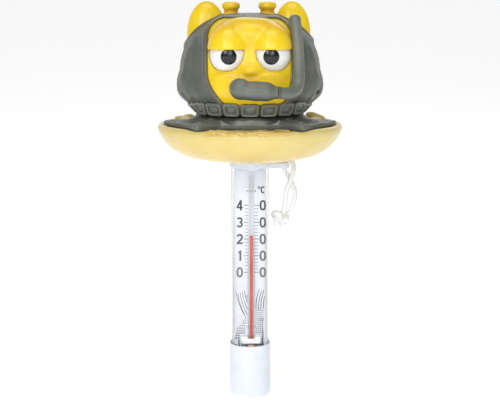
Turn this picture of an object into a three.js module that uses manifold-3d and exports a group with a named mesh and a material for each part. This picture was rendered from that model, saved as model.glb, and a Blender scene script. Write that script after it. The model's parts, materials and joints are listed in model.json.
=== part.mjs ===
// Floating pool thermometer: a diver figure on a round float dish, with a clear
// thermometer stem hanging below it and a short cord loop to tie it up by.
// Millimetres, +Z up. The origin is on the stem axis at the waterline.
// The figure faces -Y; +X is its left-hand side, where the cord hangs.

import * as THREE from 'three';
import { mergeVertices } from 'three/addons/utils/BufferGeometryUtils.js';
import Module from 'manifold-3d';

const wasm = await Module();
wasm.setup();

// ------------------------------------------------------------ driving dimensions
const GAP = 0.3;                 // clearance between pieces that are glued or pressed

// float dish
const DISH_R = 44.9;             // widest radius of the float
const DISH_RIM_Z = 9.4;          // top of the rim
const DISH_BOTTOM_Z = -8.2;      // underside at the stem
const SOCKET_R = 8.6;            // bore in the float that takes the stem's plug
const DECK_TOP_Z = 8.4;          // surface of the sand deck
const DECK_R = 41.1;

// figure
const CAPE_BOTTOM_Z = 8.8;
const CAPE_R = 41.0;             // the outline table below gives the real reach all round
const NECK_R = 25.5;
const CAPE_TOP_Z = 15.0;
const HOOD_BOTTOM_Z = 15.4;
const HOOD_WALL = 2.0;
const EYE = { x: 9.7, y: -25.6, z: 43.0, r: 8.8 };
const EAR_L = { x: -21.0, y: 5, z: 52.0, rx: 9.6, ry: 6.4, rz: 15.9 };
const EAR_R = { x: 20.3, y: 5, z: 52.0, rx: 9.1, ry: 6.4, rz: 15.9 };
const HORN_XL = -9.2, HORN_XR = 8.4, HORN_Y = 5;
const HORN_TOP_Z = 67.6;
const SNORKEL_R = 2.75;
const MOUTHPIECE_Y = -40.2, MOUTHPIECE_Z = 28.0;
const BEADS = 22;                // frames round the collar

// stem
const TUBE_OD = 18.5, TUBE_WALL = 1.2;
const TUBE_TOP_Z = -10.0, TUBE_BOTTOM_Z = -104.8;
const COLLAR_R = 10.05, COLLAR_TOP_Z = -8.5, COLLAR_BOTTOM_Z = -12.4;
const CAP_R = 10.2, CAP_TOP_Z = -100.9, CAP_BOTTOM_Z = -127.8;
const CARD_W = 15.3, CARD_T = 0.5, CARD_TOP_Z = -14.2, CARD_BOTTOM_Z = -104.0;
const CAPILLARY_OD = 3.2, CAPILLARY_BORE = 2.0;
const CAPILLARY_X = 0.6, CAPILLARY_Y = -2.0;
const SPIRIT_D = 1.4;
const SCALE_0C_Z = -65.09, MM_PER_DEG = 0.839;
const READING_C = 22.4;          // temperature shown at rest
const SPIRIT_FOOT_Z = -101.4;
const SPIRIT_TOP_Z = SCALE_0C_Z + READING_C * MM_PER_DEG;

// cord
const CORD_R = 1.2;
const EYE_X = 17.0, EYE_HOLE_R = 1.65, TAB_TIP_X = 19.4, TAB_W = 5.2;
const TAB_TOP_Z = -10.0, TAB_BOTTOM_Z = -12.95;

// ------------------------------------------------------------ materials
const mat = (color, roughness, metalness = 0, extra = {}) =>
  new THREE.MeshStandardMaterial({ color, roughness, metalness, ...extra });
const M = {
  sand: mat(0xf3dc92, 0.35),
  deck: mat(0xe9cf86, 0.6),
  vinyl: mat(0x656a63, 0.5),
  skin: mat(0xf2cc22, 0.35),
  eye: mat(0xf5f5f3, 0.25),
  white: mat(0xf1f2f6, 0.4),
  clear: mat(0xf4f6f2, 0.08, 0, { transparent: true, opacity: 0.25 }),
  card: mat(0xeef0f8, 0.6),
  glass: mat(0xeef3ee, 0.05, 0, { transparent: true, opacity: 0.35 }),
  spirit: mat(0xd8564c, 0.3),
  tie: mat(0xdfe0e2, 0.5),
  rubber: mat(0x3b3b3d, 0.8),
  foam: mat(0xe6e6e2, 0.95),
  steel: mat(0x9a9da0, 0.4, 0.9),
  cord: mat(0xf2f1ec, 0.85),
};

// ------------------------------------------------------------ solids
// Closed geometry to a manifold solid; turns it outward if it is inside out.
function solid(geometry) {
  let g = geometry.index ? geometry : geometry.clone();
  g.deleteAttribute('normal');
  g.deleteAttribute('uv');
  g = mergeVertices(g, 1e-4);
  const p = g.attributes.position, idx = g.index.array, tri = [];
  let volume = 0;
  const a = new THREE.Vector3(), b = new THREE.Vector3(), c = new THREE.Vector3();
  for (let i = 0; i < idx.length; i += 3) {
    const [u, v, w] = [idx[i], idx[i + 1], idx[i + 2]];
    if (u === v || v === w || w === u) continue;
    tri.push(u, v, w);
    a.fromBufferAttribute(p, u); b.fromBufferAttribute(p, v); c.fromBufferAttribute(p, w);
    volume += a.dot(b.cross(c));
  }
  if (volume < 0) for (let i = 0; i < tri.length; i += 3) [tri[i + 1], tri[i + 2]] = [tri[i + 2], tri[i + 1]];
  return new wasm.Manifold(new wasm.Mesh({
    numProp: 3, vertProperties: new Float32Array(p.array), triVerts: new Uint32Array(tri),
  }));
}

function toGeometry(m) {
  const out = m.getMesh();
  const g = new THREE.BufferGeometry();
  g.setAttribute('position', new THREE.BufferAttribute(new Float32Array(out.vertProperties), 3));
  g.setIndex(new THREE.BufferAttribute(new Uint32Array(out.triVerts), 1));
  g.computeVertexNormals();
  return g;
}

const union = (...s) => s.reduce((p, q) => p.add(q));
const cut = (base, ...s) => s.reduce((p, q) => p.subtract(q), base);

// Profile of [radius, z] pairs turned about the Z axis; it starts and ends on the
// axis, or closes on itself.
function lathe(profile, segments = 40, shape = null) {
  const g = new THREE.LatheGeometry(profile.map(([r, z]) => new THREE.Vector2(r, z)), segments);
  g.rotateX(Math.PI / 2);
  if (shape) {
    const p = g.attributes.position;
    for (let i = 0; i < p.count; i++) {
      const [x, y, z] = shape(p.getX(i), p.getY(i), p.getZ(i));
      p.setXYZ(i, x, y, z);
    }
  }
  return g;
}

function ellipsoid(x, y, z, rx, ry, rz, w = 20, h = 12) {
  const g = new THREE.SphereGeometry(1, w, h);
  g.rotateX(Math.PI / 2);
  g.scale(rx, ry, rz);
  g.translate(x, y, z);
  return g;
}

function cylinder(x, y, z0, z1, r, segments = 24) {
  const g = new THREE.CylinderGeometry(r, r, z1 - z0, segments);
  g.rotateX(Math.PI / 2);
  g.translate(x, y, (z0 + z1) / 2);
  return g;
}

function box(x0, x1, y0, y1, z0, z1) {
  const g = new THREE.BoxGeometry(x1 - x0, y1 - y0, z1 - z0);
  g.translate((x0 + x1) / 2, (y0 + y1) / 2, (z0 + z1) / 2);
  return g;
}

// Round tube of radius r along points, open route, flat ends.
function tube(points, r, sides, steps) {
  const path = new THREE.CatmullRomCurve3(points.map((p) => new THREE.Vector3(...p)), false, 'centripetal');
  const section = new THREE.Shape();
  for (let i = 0; i < sides; i++) {
    const t = (i / sides) * Math.PI * 2;
    const q = [r * Math.cos(t), r * Math.sin(t)];
    if (i) section.lineTo(...q); else section.moveTo(...q);
  }
  section.closePath();
  return new THREE.ExtrudeGeometry(section, { steps, bevelEnabled: false, extrudePath: path });
}

// Straight-line reading of a table of [z, value] rows.
function table(rows, z) {
  if (z <= rows[0][0]) return rows[0][1];
  for (let i = 1; i < rows.length; i++) {
    if (z <= rows[i][0]) {
      const t = (z - rows[i - 1][0]) / (rows[i][0] - rows[i - 1][0]);
      return rows[i - 1][1] + t * (rows[i][1] - rows[i - 1][1]);
    }
  }
  return rows[rows.length - 1][1];
}

// ------------------------------------------------------------ the hood's and head's form
// Half-width (X) and half-depth (Y) of the hood's outside at each height.
const HOOD_HALF_X = [[15.4, 26.2], [18.4, 30.0], [22, 33.8], [27, 35.5],
  [34.2, 34.0], [48.4, 30.4], [54.6, 23.6], [60, 16.2], [61.9, 0]];
const HOOD_HALF_Y = [[15.4, 26.2], [18.4, 29.6], [22, 32.4], [27, 33.9],
  [34.2, 33.5], [48.4, 30.6], [54.6, 26.6], [60, 18.4], [61.9, 0]];

// A closed body with the hood's form, moved in (negative) or out by off; drop lowers
// its foot.
function hoodForm(off, drop = 0, segments = 26) {
  const foot = HOOD_HALF_X[0];
  const profile = [[0, foot[0] - drop], [foot[1] + off, foot[0] - drop]];
  for (const [z, a] of HOOD_HALF_X.slice(1, -1)) {
    const zz = z > 48 ? z + off * Math.min(1, (z - 40) / 16) : z;
    profile.push([a + off, zz]);
  }
  profile.push([0, HOOD_HALF_X[HOOD_HALF_X.length - 1][0] + off]);
  return lathe(profile, segments, (x, y, z) => {
    const zz = z > 48 ? z - off * Math.min(1, (z - 40) / 16) : z;
    const a = table(HOOD_HALF_X, zz) + off, b = table(HOOD_HALF_Y, zz) + off;
    return [x, a > 1 ? y * (b / a) : y, z];
  });
}

// Outline of the face opening in the hood, seen from the front: [x, z].
function faceShape(grow) {
  const pts = [[-19.7, 34], [-19.7, 48], [-15.9, 55.6], [-8.0, 60.0], [8.0, 60.0], [15.9, 55.6],
    [19.4, 48], [19.4, 34], [12.6, 21.9], [-12.6, 21.9]];
  const s = new THREE.Shape();
  pts.forEach(([x, z], i) => {
    const cx = 0, cz = 40, dx = x - cx, dz = z - cz, l = Math.hypot(dx, dz);
    const q = [x + (dx / l) * grow, z + (dz / l) * grow];
    if (i) s.lineTo(...q); else s.moveTo(...q);
  });
  s.closePath();
  const g = new THREE.ExtrudeGeometry(s, { depth: 40, bevelEnabled: false });
  g.rotateX(Math.PI / 2);          // the shape's y becomes z, its depth runs to -Y
  g.translate(0, -8, 0);
  return g;
}

// An ear is the top of a tall lobe; grow and foot make the space it needs.
const earForm = (e, grow = 0, foot = 44) => solid(ellipsoid(e.x, e.y, e.z, e.rx + grow, e.ry + grow, e.rz + grow, 16, 12))
  .intersect(solid(box(e.x - 20, e.x + 20, -20, 30, foot, 80)));
const hornForm = (x, grow = 0) => {
  const g = lathe([[0, 54], [5.4 + grow, 54], [4.7 + grow, 59], [3.7 + grow, 61.3], [3.3 + grow, 62.9], [3.5 + grow, 63.8],
    [4.4 + grow, 64.6], [4.4 + grow, 66.2], [3.0 + grow, HORN_TOP_Z + grow], [0, HORN_TOP_Z + grow]], 16);
  g.translate(x, HORN_Y, 0);
  return g;
};
const SNORKEL_ROUTE = [[20.9, -23.6, 61.6], [21.5, -24.6, 54], [22.1, -25.9, 46], [22.5, -27.6, 38], [22.5, -29.8, 32],
  [21.4, -32.9, 28.2], [18.8, -36.4, 26.7], [15.8, -38.9, 26.6], [11.9, -40.2, 27.1]];
const snorkelForm = (grow = 0) => tube(SNORKEL_ROUTE, SNORKEL_R + grow, 10, 14);
const mouthpieceForm = (grow = 0) => {
  const rows = [[-8.9, 0], [-8.7, 1.6], [-7.6, 3.7], [-5.4, 4.75], [-1.6, 4.5], [5, 4.75], [9.4, 4.3],
    [12.6, 2.9], [12.6, 0]];
  const g = lathe(rows.map(([x, r]) => [r && r + grow, x + Math.sign(x) * grow]), 16);
  g.rotateY(Math.PI / 2 + 0.05);   // the axis now runs along +X, a little down
  g.translate(0, MOUTHPIECE_Y, MOUTHPIECE_Z);
  return g;
};

// ------------------------------------------------------------ pieces of the figure
const parts = [];
const add = (name, s, material, group) => parts.push([name, s, material, group]);

// float dish: thin bowl with a rolled rim and a boss for the stem's plug
const dish = solid(lathe([
  [SOCKET_R, DISH_BOTTOM_Z], [21, -7.9], [28.5, -6.9], [34.5, -5.1], [39.2, -1.8], [42.8, 2.2],
  [DISH_R, 7.2], [44.6, 8.8], [43.3, DISH_RIM_Z], [42.3, 8.6], [40.3, 3.2],
  [36.4, -0.5], [31.2, -3.6], [11.4, -5.9], [11.4, -1.6], [SOCKET_R, -1.6],
  [SOCKET_R, DISH_BOTTOM_Z],
], 36));
add('float_dish', dish, M.sand, 'figure');

// sand deck: rippled lid that closes the float, sat inside the rim
const deck = solid(lathe([
  [0, 5.9], [40.8, 5.9], [DECK_R + 0.4, 7.4], [DECK_R, DECK_TOP_Z], [0, DECK_TOP_Z],
], 36));
add('sand_deck', deck, M.deck, 'figure');

// two little sand curls that stand on the deck behind the cape
const curl = (side, top) => {
  const s = Math.sign(side);
  const g = tube([[s * 29.6, 26.4, top - 1.5], [s * 32.2, 24.2, top - 1.3], [s * 35.4, 19.8, 10.0], [s * 37.4, 14.8, 9.2]], 1.3, 8, 7);
  return cut(solid(g), solid(box(-50, 50, -50, 50, 0, DECK_TOP_Z + GAP)));
};
add('sand_curl_left', curl(-1, 11.2), M.deck, 'figure');
add('sand_curl_right', curl(1, 12.3), M.deck, 'figure');

// cape: two wings drawn out to the sides, a short front panel between them and a panel
// down the back, all lying on the deck, with the neck above
const CAPE_OUTLINE = [[0, 33.2], [14, 33.0], [25, 32.8], [30, 36.4], [35, 41.2], [40, 41.5], [48, 41.1], [60, 40.8], [72, 41.2], [82, 41.7],
  [88, 40.6], [93, 31.5], [98, 28.8], [130, 28.8], [140, 31.6], [150, 33.6], [165, 34.2], [180, 33.6]];
const capeRadius = (x, y) => {
  const a = Math.abs(Math.atan2(x, -y)) * 180 / Math.PI;
  let i = 0;
  while (i < CAPE_OUTLINE.length - 2 && a > CAPE_OUTLINE[i + 1][0]) i++;
  const [a0, r0] = CAPE_OUTLINE[i], [a1, r1] = CAPE_OUTLINE[i + 1];
  return r0 + (r1 - r0) * Math.min(1, (a - a0) / (a1 - a0));
};
const cape = solid(lathe([
  [20.4, CAPE_BOTTOM_Z], [CAPE_R - 1, CAPE_BOTTOM_Z], [CAPE_R, 9.5], [CAPE_R - 0.5, 10.9], [CAPE_R - 2.2, 11.5], [33, 12.0],
  [28.4, 12.7], [NECK_R + 0.5, 13.6], [NECK_R, CAPE_TOP_Z], [20.4, CAPE_TOP_Z], [20.4, CAPE_BOTTOM_Z],
], 72, (x, y, z) => {
  const r = Math.hypot(x, y);
  if (r < 26.2) return [x, y, z];
  const k = (26.2 + (r - 26.2) * (capeRadius(x, y) - 26.2) / (CAPE_R - 26.2)) / r;
  return [x * k, y * k, z];
}));
add('diver_cape', cape, M.vinyl, 'figure');

// hood: a shell round the head, open at the face, the ears, the horns and the neck
const earCutL = earForm(EAR_L, 0.35, 43.6), earCutR = earForm(EAR_R, 0.35, 43.6);
const hornCutL = solid(hornForm(HORN_XL, 0.3)), hornCutR = solid(hornForm(HORN_XR, 0.3));
const snorkelCut = solid(snorkelForm(0.35)), mouthCut = solid(mouthpieceForm(0.35));
const hoodOuter = solid(hoodForm(0));
const hood = cut(hoodOuter, solid(hoodForm(-HOOD_WALL, 1)), solid(faceShape(0)), earCutL, earCutR, hornCutL, hornCutR, snorkelCut);
add('hood', hood, M.vinyl, 'figure');

// head: hollow moulding inside the hood, with the face standing out of the opening
const headBody = solid(hoodForm(-HOOD_WALL - GAP - 0.1));
const neck = solid(cylinder(0, 0, 8.8, 18, 19.9, 28));
const facePlug = solid(faceShape(-0.45)).intersect(solid(hoodForm(1.1)));
const muzzle = solid(ellipsoid(0, -25.0, 29.4, 15.2, 10.9, 8.6, 16, 10));
const brow = (s) => cut(solid(ellipsoid(s * EYE.x, EYE.y, EYE.z, 10.3, 10.3, 10.6, 16, 10)), solid(box(-30, 30, -60, 0, 20, EYE.z + 2.2)));
const sockets = [-1, 1].map((s) => solid(ellipsoid(s * EYE.x, EYE.y, EYE.z, EYE.r + 0.5, EYE.r + 0.5, EYE.r + 0.5, 16, 10)));
const chamber = union(solid(ellipsoid(0, 5.5, 34, 24, 17.5, 19, 16, 10)), solid(cylinder(0, 2.5, 8, 26, 14, 20)));
const head = cut(union(headBody, neck, facePlug, muzzle, brow(-1), brow(1)), ...sockets, chamber, earCutL, earCutR, hornCutL, hornCutR, snorkelCut, mouthCut);
add('head', head, M.skin, 'figure');

add('ear_left', cut(earForm(EAR_L), hornCutL), M.skin, 'figure');
add('ear_right', cut(earForm(EAR_R), hornCutR, snorkelCut), M.skin, 'figure');
add('horn_left', solid(hornForm(HORN_XL)), M.skin, 'figure');
add('horn_right', solid(hornForm(HORN_XR)), M.skin, 'figure');
add('eye_left', solid(ellipsoid(-EYE.x, EYE.y, EYE.z, EYE.r, EYE.r, EYE.r, 16, 10)), M.eye, 'figure');
add('eye_right', solid(ellipsoid(EYE.x, EYE.y, EYE.z, EYE.r, EYE.r, EYE.r, 16, 10)), M.eye, 'figure');
add('snorkel_tube', cut(solid(snorkelForm()), solid(mouthpieceForm(GAP))), M.vinyl, 'figure');
add('snorkel_mouthpiece', solid(mouthpieceForm()), M.vinyl, 'figure');

// collar of framed beads, sat in the crook between the hood and the cape
function bead(t) {
  const g = new THREE.BoxGeometry(7.7, 3.4, 5.7);
  g.rotateX(0.36);                 // the frame's face looks along -Y and a little down
  g.translate(0, -29.9, 18.6);
  g.rotateZ(t);
  return solid(g);
}
const band = solid(lathe([[26.6, 15.5], [29.0, 15.8], [30.6, 21.0], [28.4, 21.3], [26.6, 15.5]], 22));
let beads = band;
for (let i = 0; i < BEADS; i++) beads = beads.add(bead((i / BEADS) * Math.PI * 2));
const collarSeat = solid(hoodForm(GAP));
add('bead_collar', cut(beads, collarSeat, solid(cylinder(0, 0, 8, 15.3, 40, 40)), solid(faceShape(0.2)).intersect(solid(box(-30, 30, -60, 0, 21.3, 60)))), M.vinyl, 'figure');

// ------------------------------------------------------------ pieces of the stem
const tubeR = TUBE_OD / 2, boreR = tubeR - TUBE_WALL;

// stem collar: plug into the float, skirt over the tube, and the eye tab for the cord
const collarBody = solid(lathe([
  [0, -2.2], [7.9, -2.2], [SOCKET_R - GAP, -2.7], [SOCKET_R - GAP, COLLAR_TOP_Z], [COLLAR_R - 0.4, COLLAR_TOP_Z], [COLLAR_R, COLLAR_TOP_Z - 0.4],
  [COLLAR_R, COLLAR_BOTTOM_Z], [tubeR + GAP, COLLAR_BOTTOM_Z], [tubeR + GAP, -9.7], [boreR - GAP, -9.7],
  [boreR - GAP, -13.2], [boreR - 0.8, -13.6], [0, -13.6],
], 28));
const tabShape = new THREE.Shape();
tabShape.moveTo(9.0, -TAB_W / 2);
tabShape.lineTo(EYE_X - 0.4, -TAB_W / 2);
tabShape.absarc(EYE_X - 0.2, 0, TAB_W / 2, -Math.PI / 2, Math.PI / 2, false);
tabShape.lineTo(9.0, TAB_W / 2);
tabShape.closePath();
const tab = new THREE.ExtrudeGeometry(tabShape, { depth: TAB_TOP_Z - TAB_BOTTOM_Z, bevelEnabled: false, curveSegments: 8 });
tab.translate(0, 0, TAB_BOTTOM_Z);
const tabKeep = solid(box(9.7, TAB_TIP_X, -TAB_W, TAB_W, -14, -8));
const collar = cut(
  union(collarBody, solid(tab).intersect(tabKeep)),
  solid(cylinder(EYE_X, 0, -15, -8, EYE_HOLE_R, 14)),
  solid(box(EYE_X - EYE_HOLE_R, 22, -1.65, 1.65, -11.25, -8)),
);
add('stem_collar', collar, M.white, 'stem');

add('seal_ring', solid(lathe([[boreR + 0.1, -9.94], [tubeR - 0.1, -9.94], [tubeR - 0.1, -9.76], [boreR + 0.1, -9.76], [boreR + 0.1, -9.94]], 28)), M.rubber, 'stem');

const tubeTop = -10.0 - GAP;
add('clear_tube', solid(lathe([
  [boreR, TUBE_BOTTOM_Z], [tubeR, TUBE_BOTTOM_Z], [tubeR, tubeTop], [boreR, tubeTop], [boreR, TUBE_BOTTOM_Z],
], 40)), M.clear, 'stem');

// scale card: flat strip across the tube, slotted for the two ties
const TIES_Z = [-23.9, -92.0];
let card = solid(box(-CARD_W / 2, CARD_W / 2, 0, CARD_T, CARD_BOTTOM_Z, CARD_TOP_Z));
for (const z of TIES_Z) for (const s of [-1, 1]) card = card.subtract(solid(box(CAPILLARY_X + s * 2.35 - 0.75, CAPILLARY_X + s * 2.35 + 0.75, -1, 2, z - 0.85, z + 0.85)));
card = card.subtract(solid(box(CAPILLARY_X - 2.95, CAPILLARY_X + 2.95, -1, 2, CARD_BOTTOM_Z - 1, -100.2)));   // room for the bulb
add('scale_card', card, M.card, 'stem');

// capillary: thick glass tube, closed and rounded at the top, with the bulb blown at
// its foot; the bulb's pinched end keeps its small hole
const capR = CAPILLARY_OD / 2, bore = CAPILLARY_BORE / 2;
const capillary = lathe([
  [0, -14.9], [1.2, -15.3], [capR, -16.4], [capR, -100.1], [2.5, -101.1], [2.5, -110.2],
  [1.4, -112.3], [0.35, -112.5], [0.35, -112.1], [2.0, -109.9], [2.0, -101.7], [bore, -100.7], [bore, -17.4], [0, -16.6],
], 18);
capillary.translate(CAPILLARY_X, CAPILLARY_Y, 0);
add('capillary_glass', solid(capillary), M.glass, 'stem');

add('spirit_column', solid(cylinder(CAPILLARY_X, CAPILLARY_Y, SPIRIT_FOOT_Z, SPIRIT_TOP_Z, SPIRIT_D / 2, 16)), M.spirit, 'stem');
// the spirit in the bulb stands round the foot of the column
add('bulb_spirit', solid(lathe([[0, -101.8], [0.92, -101.8], [0.92, -101.4], [1.3, -101.4], [1.75, -101.8], [1.75, -109.4], [0.7, -110.9], [0, -111.0]], 16,
  (x, y, z) => [x + CAPILLARY_X, y + CAPILLARY_Y, z])), M.spirit, 'stem');

// saddle that holds the capillary's foot on the card
const saddleShape = new THREE.Shape();
saddleShape.moveTo(-4.7, -0.35);
saddleShape.lineTo(4.7, -0.35);
saddleShape.lineTo(4.5, -1.3);
saddleShape.quadraticCurveTo(3.1, -4.3, 0, -4.45);
saddleShape.quadraticCurveTo(-3.1, -4.3, -4.5, -1.3);
saddleShape.closePath();
const saddle = new THREE.ExtrudeGeometry(saddleShape, { depth: 2.3, bevelEnabled: false, curveSegments: 5 });
saddle.translate(CAPILLARY_X - 0.1, 0, -100.0);
add('bulb_saddle', cut(solid(saddle), solid(cylinder(CAPILLARY_X, CAPILLARY_Y, -110, -90, capR + GAP, 18))), M.white, 'stem');

// ties: loops round the capillary and through the card
const tieBase = (r, y1) => {
  const s = new THREE.Shape();
  s.moveTo(r, y1);
  s.lineTo(r, CAPILLARY_Y);
  s.absarc(0, CAPILLARY_Y, r, 0, Math.PI, true);
  s.lineTo(-r, y1);
  s.closePath();
  return s;
};
TIES_Z.forEach((z, i) => {
  const outer = tieBase(2.45, 1.35);
  const g = new THREE.ExtrudeGeometry(outer, { depth: 0.7, bevelEnabled: false, curveSegments: 8 });
  const h = new THREE.ExtrudeGeometry(tieBase(1.95, 0.82), { depth: 4, bevelEnabled: false, curveSegments: 8 });
  g.translate(CAPILLARY_X, 0, z - 0.35);
  h.translate(CAPILLARY_X, 0, z - 2);
  add(i ? 'capillary_tie_lower' : 'capillary_tie_upper', solid(g).subtract(solid(h)), M.tie, 'stem');
});

// bottom cap: cup pressed over the tube's foot, with the ballast and a foam pad in it
add('bottom_cap', solid(lathe([
  [0, CAP_BOTTOM_Z], [9.3, CAP_BOTTOM_Z], [9.9, CAP_BOTTOM_Z + 0.3], [CAP_R, CAP_BOTTOM_Z + 1.1], [CAP_R, CAP_TOP_Z - 0.3], [CAP_R - 0.3, CAP_TOP_Z],
  [tubeR + GAP, CAP_TOP_Z], [tubeR + GAP, TUBE_BOTTOM_Z - GAP], [boreR + 0.2, TUBE_BOTTOM_Z - GAP], [boreR + 0.2, -125.6], [0, -125.6],
], 36)), M.white, 'stem');
add('foam_pad', solid(lathe([[2.8, -105.3], [7.7, -105.3], [7.9, -106], [7.9, -113.4], [7.7, -113.8], [0, -113.8], [0, -112.9], [2.8, -112.9], [2.8, -105.3]], 20,
  (x, y, z) => { const r = Math.hypot(x, y); return r < 4 ? [x + CAPILLARY_X * (r > 0.5 ? 1 : 0), y + CAPILLARY_Y * (r > 0.5 ? 1 : 0), z] : [x, y, z]; })), M.foam, 'stem');
add('ballast_slug', solid(lathe([[0, -125.3], [7.3, -125.3], [7.9, -124.7], [7.9, -114.8], [7.3, -114.2], [0, -114.2]], 24)), M.steel, 'stem');

// ------------------------------------------------------------ the cord
const BIGHT = [[17.0, 0, -13.0], [17.0, 0, -11.7], [17.25, 0, -10.5], [18.1, 0, -9.8], [19.3, -0.1, -9.65], [20.5, -0.3, -10.2],
  [21.2, -0.6, -11.3], [21.35, -0.9, -12.4]];
const LEG_A = [[17.0, 0, -13.35], [17.02, 0.03, -13.9], [17.4, 0.55, -15.2], [18.4, 1.15, -16.8], [19.7, 1.45, -18.8], [21.0, 1.4, -21.8], [22.0, 1.0, -24.6], [22.1, 0.7, -27.5],
  [21.6, 0.5, -30.2], [20.6, 0.3, -33.0], [19.3, 0.2, -35.4], [17.8, 0.1, -37.0]];
const LEG_B = [[21.4, -0.99, -12.8], [21.38, -1.12, -13.4], [21.15, -1.3, -14.8], [20.6, -1.4, -16.8], [19.7, -1.45, -19.2], [18.6, -1.4, -21.8], [17.8, -1.2, -24.6], [17.5, -1.0, -27.5],
  [17.3, -0.9, -30.2], [17.1, -0.8, -32.6], [16.3, -0.6, -35.4], [15.2, -0.3, -37.0]];
const knotForm = (grow = 0) => {
  const g = new THREE.SphereGeometry(1, 16, 10);
  g.scale(4.85 + grow, 3.3 + grow, 4.15 + grow);
  g.rotateY(0.25);
  g.translate(14.6, -0.2, -37.7);
  return g;
};
add('cord_bight', solid(tube(BIGHT, CORD_R, 8, 10)), M.cord, 'cord');
const legs = [LEG_A, LEG_B].map((route) => solid(tube(route, CORD_R, 8, 12)));
const knotCut = solid(knotForm(GAP));
add('cord_leg_a', cut(legs[0], knotCut), M.cord, 'cord');
add('cord_leg_b', cut(legs[1], knotCut), M.cord, 'cord');
add('cord_knot', solid(knotForm()), M.cord, 'cord');

// ------------------------------------------------------------ scene
const thermometer = new THREE.Group();
thermometer.name = 'floating_pool_thermometer';
const groups = {};
for (const name of ['figure', 'stem', 'cord']) {
  groups[name] = new THREE.Group();
  thermometer.add(groups[name]);
}
for (const [name, s, material, group] of parts) {
  const mesh = new THREE.Mesh(toGeometry(s), material);
  mesh.name = name;
  groups[group].add(mesh);
}

export default thermometer;
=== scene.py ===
import json
import math

import bpy
import numpy as np
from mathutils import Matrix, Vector

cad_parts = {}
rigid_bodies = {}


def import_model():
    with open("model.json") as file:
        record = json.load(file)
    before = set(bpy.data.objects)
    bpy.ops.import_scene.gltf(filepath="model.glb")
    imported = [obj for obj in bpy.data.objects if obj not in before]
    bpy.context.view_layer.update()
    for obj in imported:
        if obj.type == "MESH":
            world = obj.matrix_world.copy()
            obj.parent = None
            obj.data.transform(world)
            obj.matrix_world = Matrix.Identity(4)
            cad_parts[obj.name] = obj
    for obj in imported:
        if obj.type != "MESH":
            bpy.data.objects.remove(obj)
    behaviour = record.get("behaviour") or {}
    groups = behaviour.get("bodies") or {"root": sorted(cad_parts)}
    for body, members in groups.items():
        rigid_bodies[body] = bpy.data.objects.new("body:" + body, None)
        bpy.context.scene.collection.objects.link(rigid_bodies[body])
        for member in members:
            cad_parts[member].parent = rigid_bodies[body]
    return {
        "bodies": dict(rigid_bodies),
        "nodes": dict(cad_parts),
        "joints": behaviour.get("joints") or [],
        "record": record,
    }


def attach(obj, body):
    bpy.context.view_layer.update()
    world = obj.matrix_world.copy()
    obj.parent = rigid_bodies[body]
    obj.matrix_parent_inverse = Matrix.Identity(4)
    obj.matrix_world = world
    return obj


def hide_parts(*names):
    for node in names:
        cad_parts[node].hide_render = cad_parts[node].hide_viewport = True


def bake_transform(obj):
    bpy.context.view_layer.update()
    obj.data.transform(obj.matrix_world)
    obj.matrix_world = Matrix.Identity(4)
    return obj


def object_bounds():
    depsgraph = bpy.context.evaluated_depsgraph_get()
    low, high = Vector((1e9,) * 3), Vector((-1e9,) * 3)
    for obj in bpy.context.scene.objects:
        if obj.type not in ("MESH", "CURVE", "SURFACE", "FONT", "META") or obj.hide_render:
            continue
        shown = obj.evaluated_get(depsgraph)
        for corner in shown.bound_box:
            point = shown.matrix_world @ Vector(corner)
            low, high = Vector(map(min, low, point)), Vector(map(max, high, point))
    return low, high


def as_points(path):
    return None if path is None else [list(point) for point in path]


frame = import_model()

CAD_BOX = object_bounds()
MM = 0.001
ROOT = "thermometer"
NODES = frame["nodes"]


# ================================================================ camera
scene = bpy.context.scene
cam_data = bpy.data.cameras.new("camera")
cam = bpy.data.objects.new("camera", cam_data)
scene.collection.objects.link(cam)
scene.camera = cam
cam.location = (0, -0.606, 0.0705)
cam.rotation_euler = (math.radians(90 - 9.32), 0, 0)
cam_data.sensor_width = 36
cam_data.lens = 1246 / 500 * 36
cam_data.clip_start = 0.01
cam_data.clip_end = 20


# ================================================================ mesh helpers
def new_object(name, verts, faces, smooth=True, attrs=None):
    """verts in mm (N,3), faces as an (M,3|4) array or a list; the object is in metres."""
    me = bpy.data.meshes.new(name)
    verts = np.asarray(verts, dtype=np.float64) * MM
    if isinstance(faces, np.ndarray):
        k = faces.shape[1]
        me.vertices.add(len(verts))
        me.vertices.foreach_set("co", verts.astype(np.float32).ravel())
        me.loops.add(faces.size)
        me.loops.foreach_set("vertex_index", faces.astype(np.int32).ravel())
        me.polygons.add(len(faces))
        me.polygons.foreach_set("loop_start", np.arange(0, faces.size, k, dtype=np.int32))
        me.update(calc_edges=True)
        me.validate()
    else:
        me.from_pydata([tuple(v) for v in verts], [], faces)
        me.update()
    if smooth:
        me.polygons.foreach_set("use_smooth", np.ones(len(me.polygons), dtype=bool))
    for key, values in (attrs or {}).items():
        a = me.attributes.new(key, "FLOAT", "POINT")
        a.data.foreach_set("value", np.asarray(values, dtype=np.float32))
    me.update()
    ob = bpy.data.objects.new(name, me)
    scene.collection.objects.link(ob)
    return ob


def grid_faces(rows, cols, close_u=True, flip=False):
    """Quads of a rows x cols grid of vertices; cols wrap round if close_u."""
    r = np.arange(rows - 1)[:, None]
    c = np.arange(cols if close_u else cols - 1)[None, :]
    c2 = (c + 1) % cols
    a, b, d, e = r * cols + c, r * cols + c2, (r + 1) * cols + c2, (r + 1) * cols + c
    f = np.stack(np.broadcast_arrays(a, b, d, e), axis=-1).reshape(-1, 4)
    return f[:, ::-1] if flip else f


def volume(verts, faces):
    v = np.asarray(verts)
    f = np.asarray(faces)
    tri = np.concatenate([f[:, [0, 1, 2]], f[:, [0, 2, 3]]]) if f.shape[1] == 4 else f
    a, b, c = v[tri[:, 0]], v[tri[:, 1]], v[tri[:, 2]]
    return float(np.einsum("ij,ij->i", a, np.cross(b, c)).sum() / 6)


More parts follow.
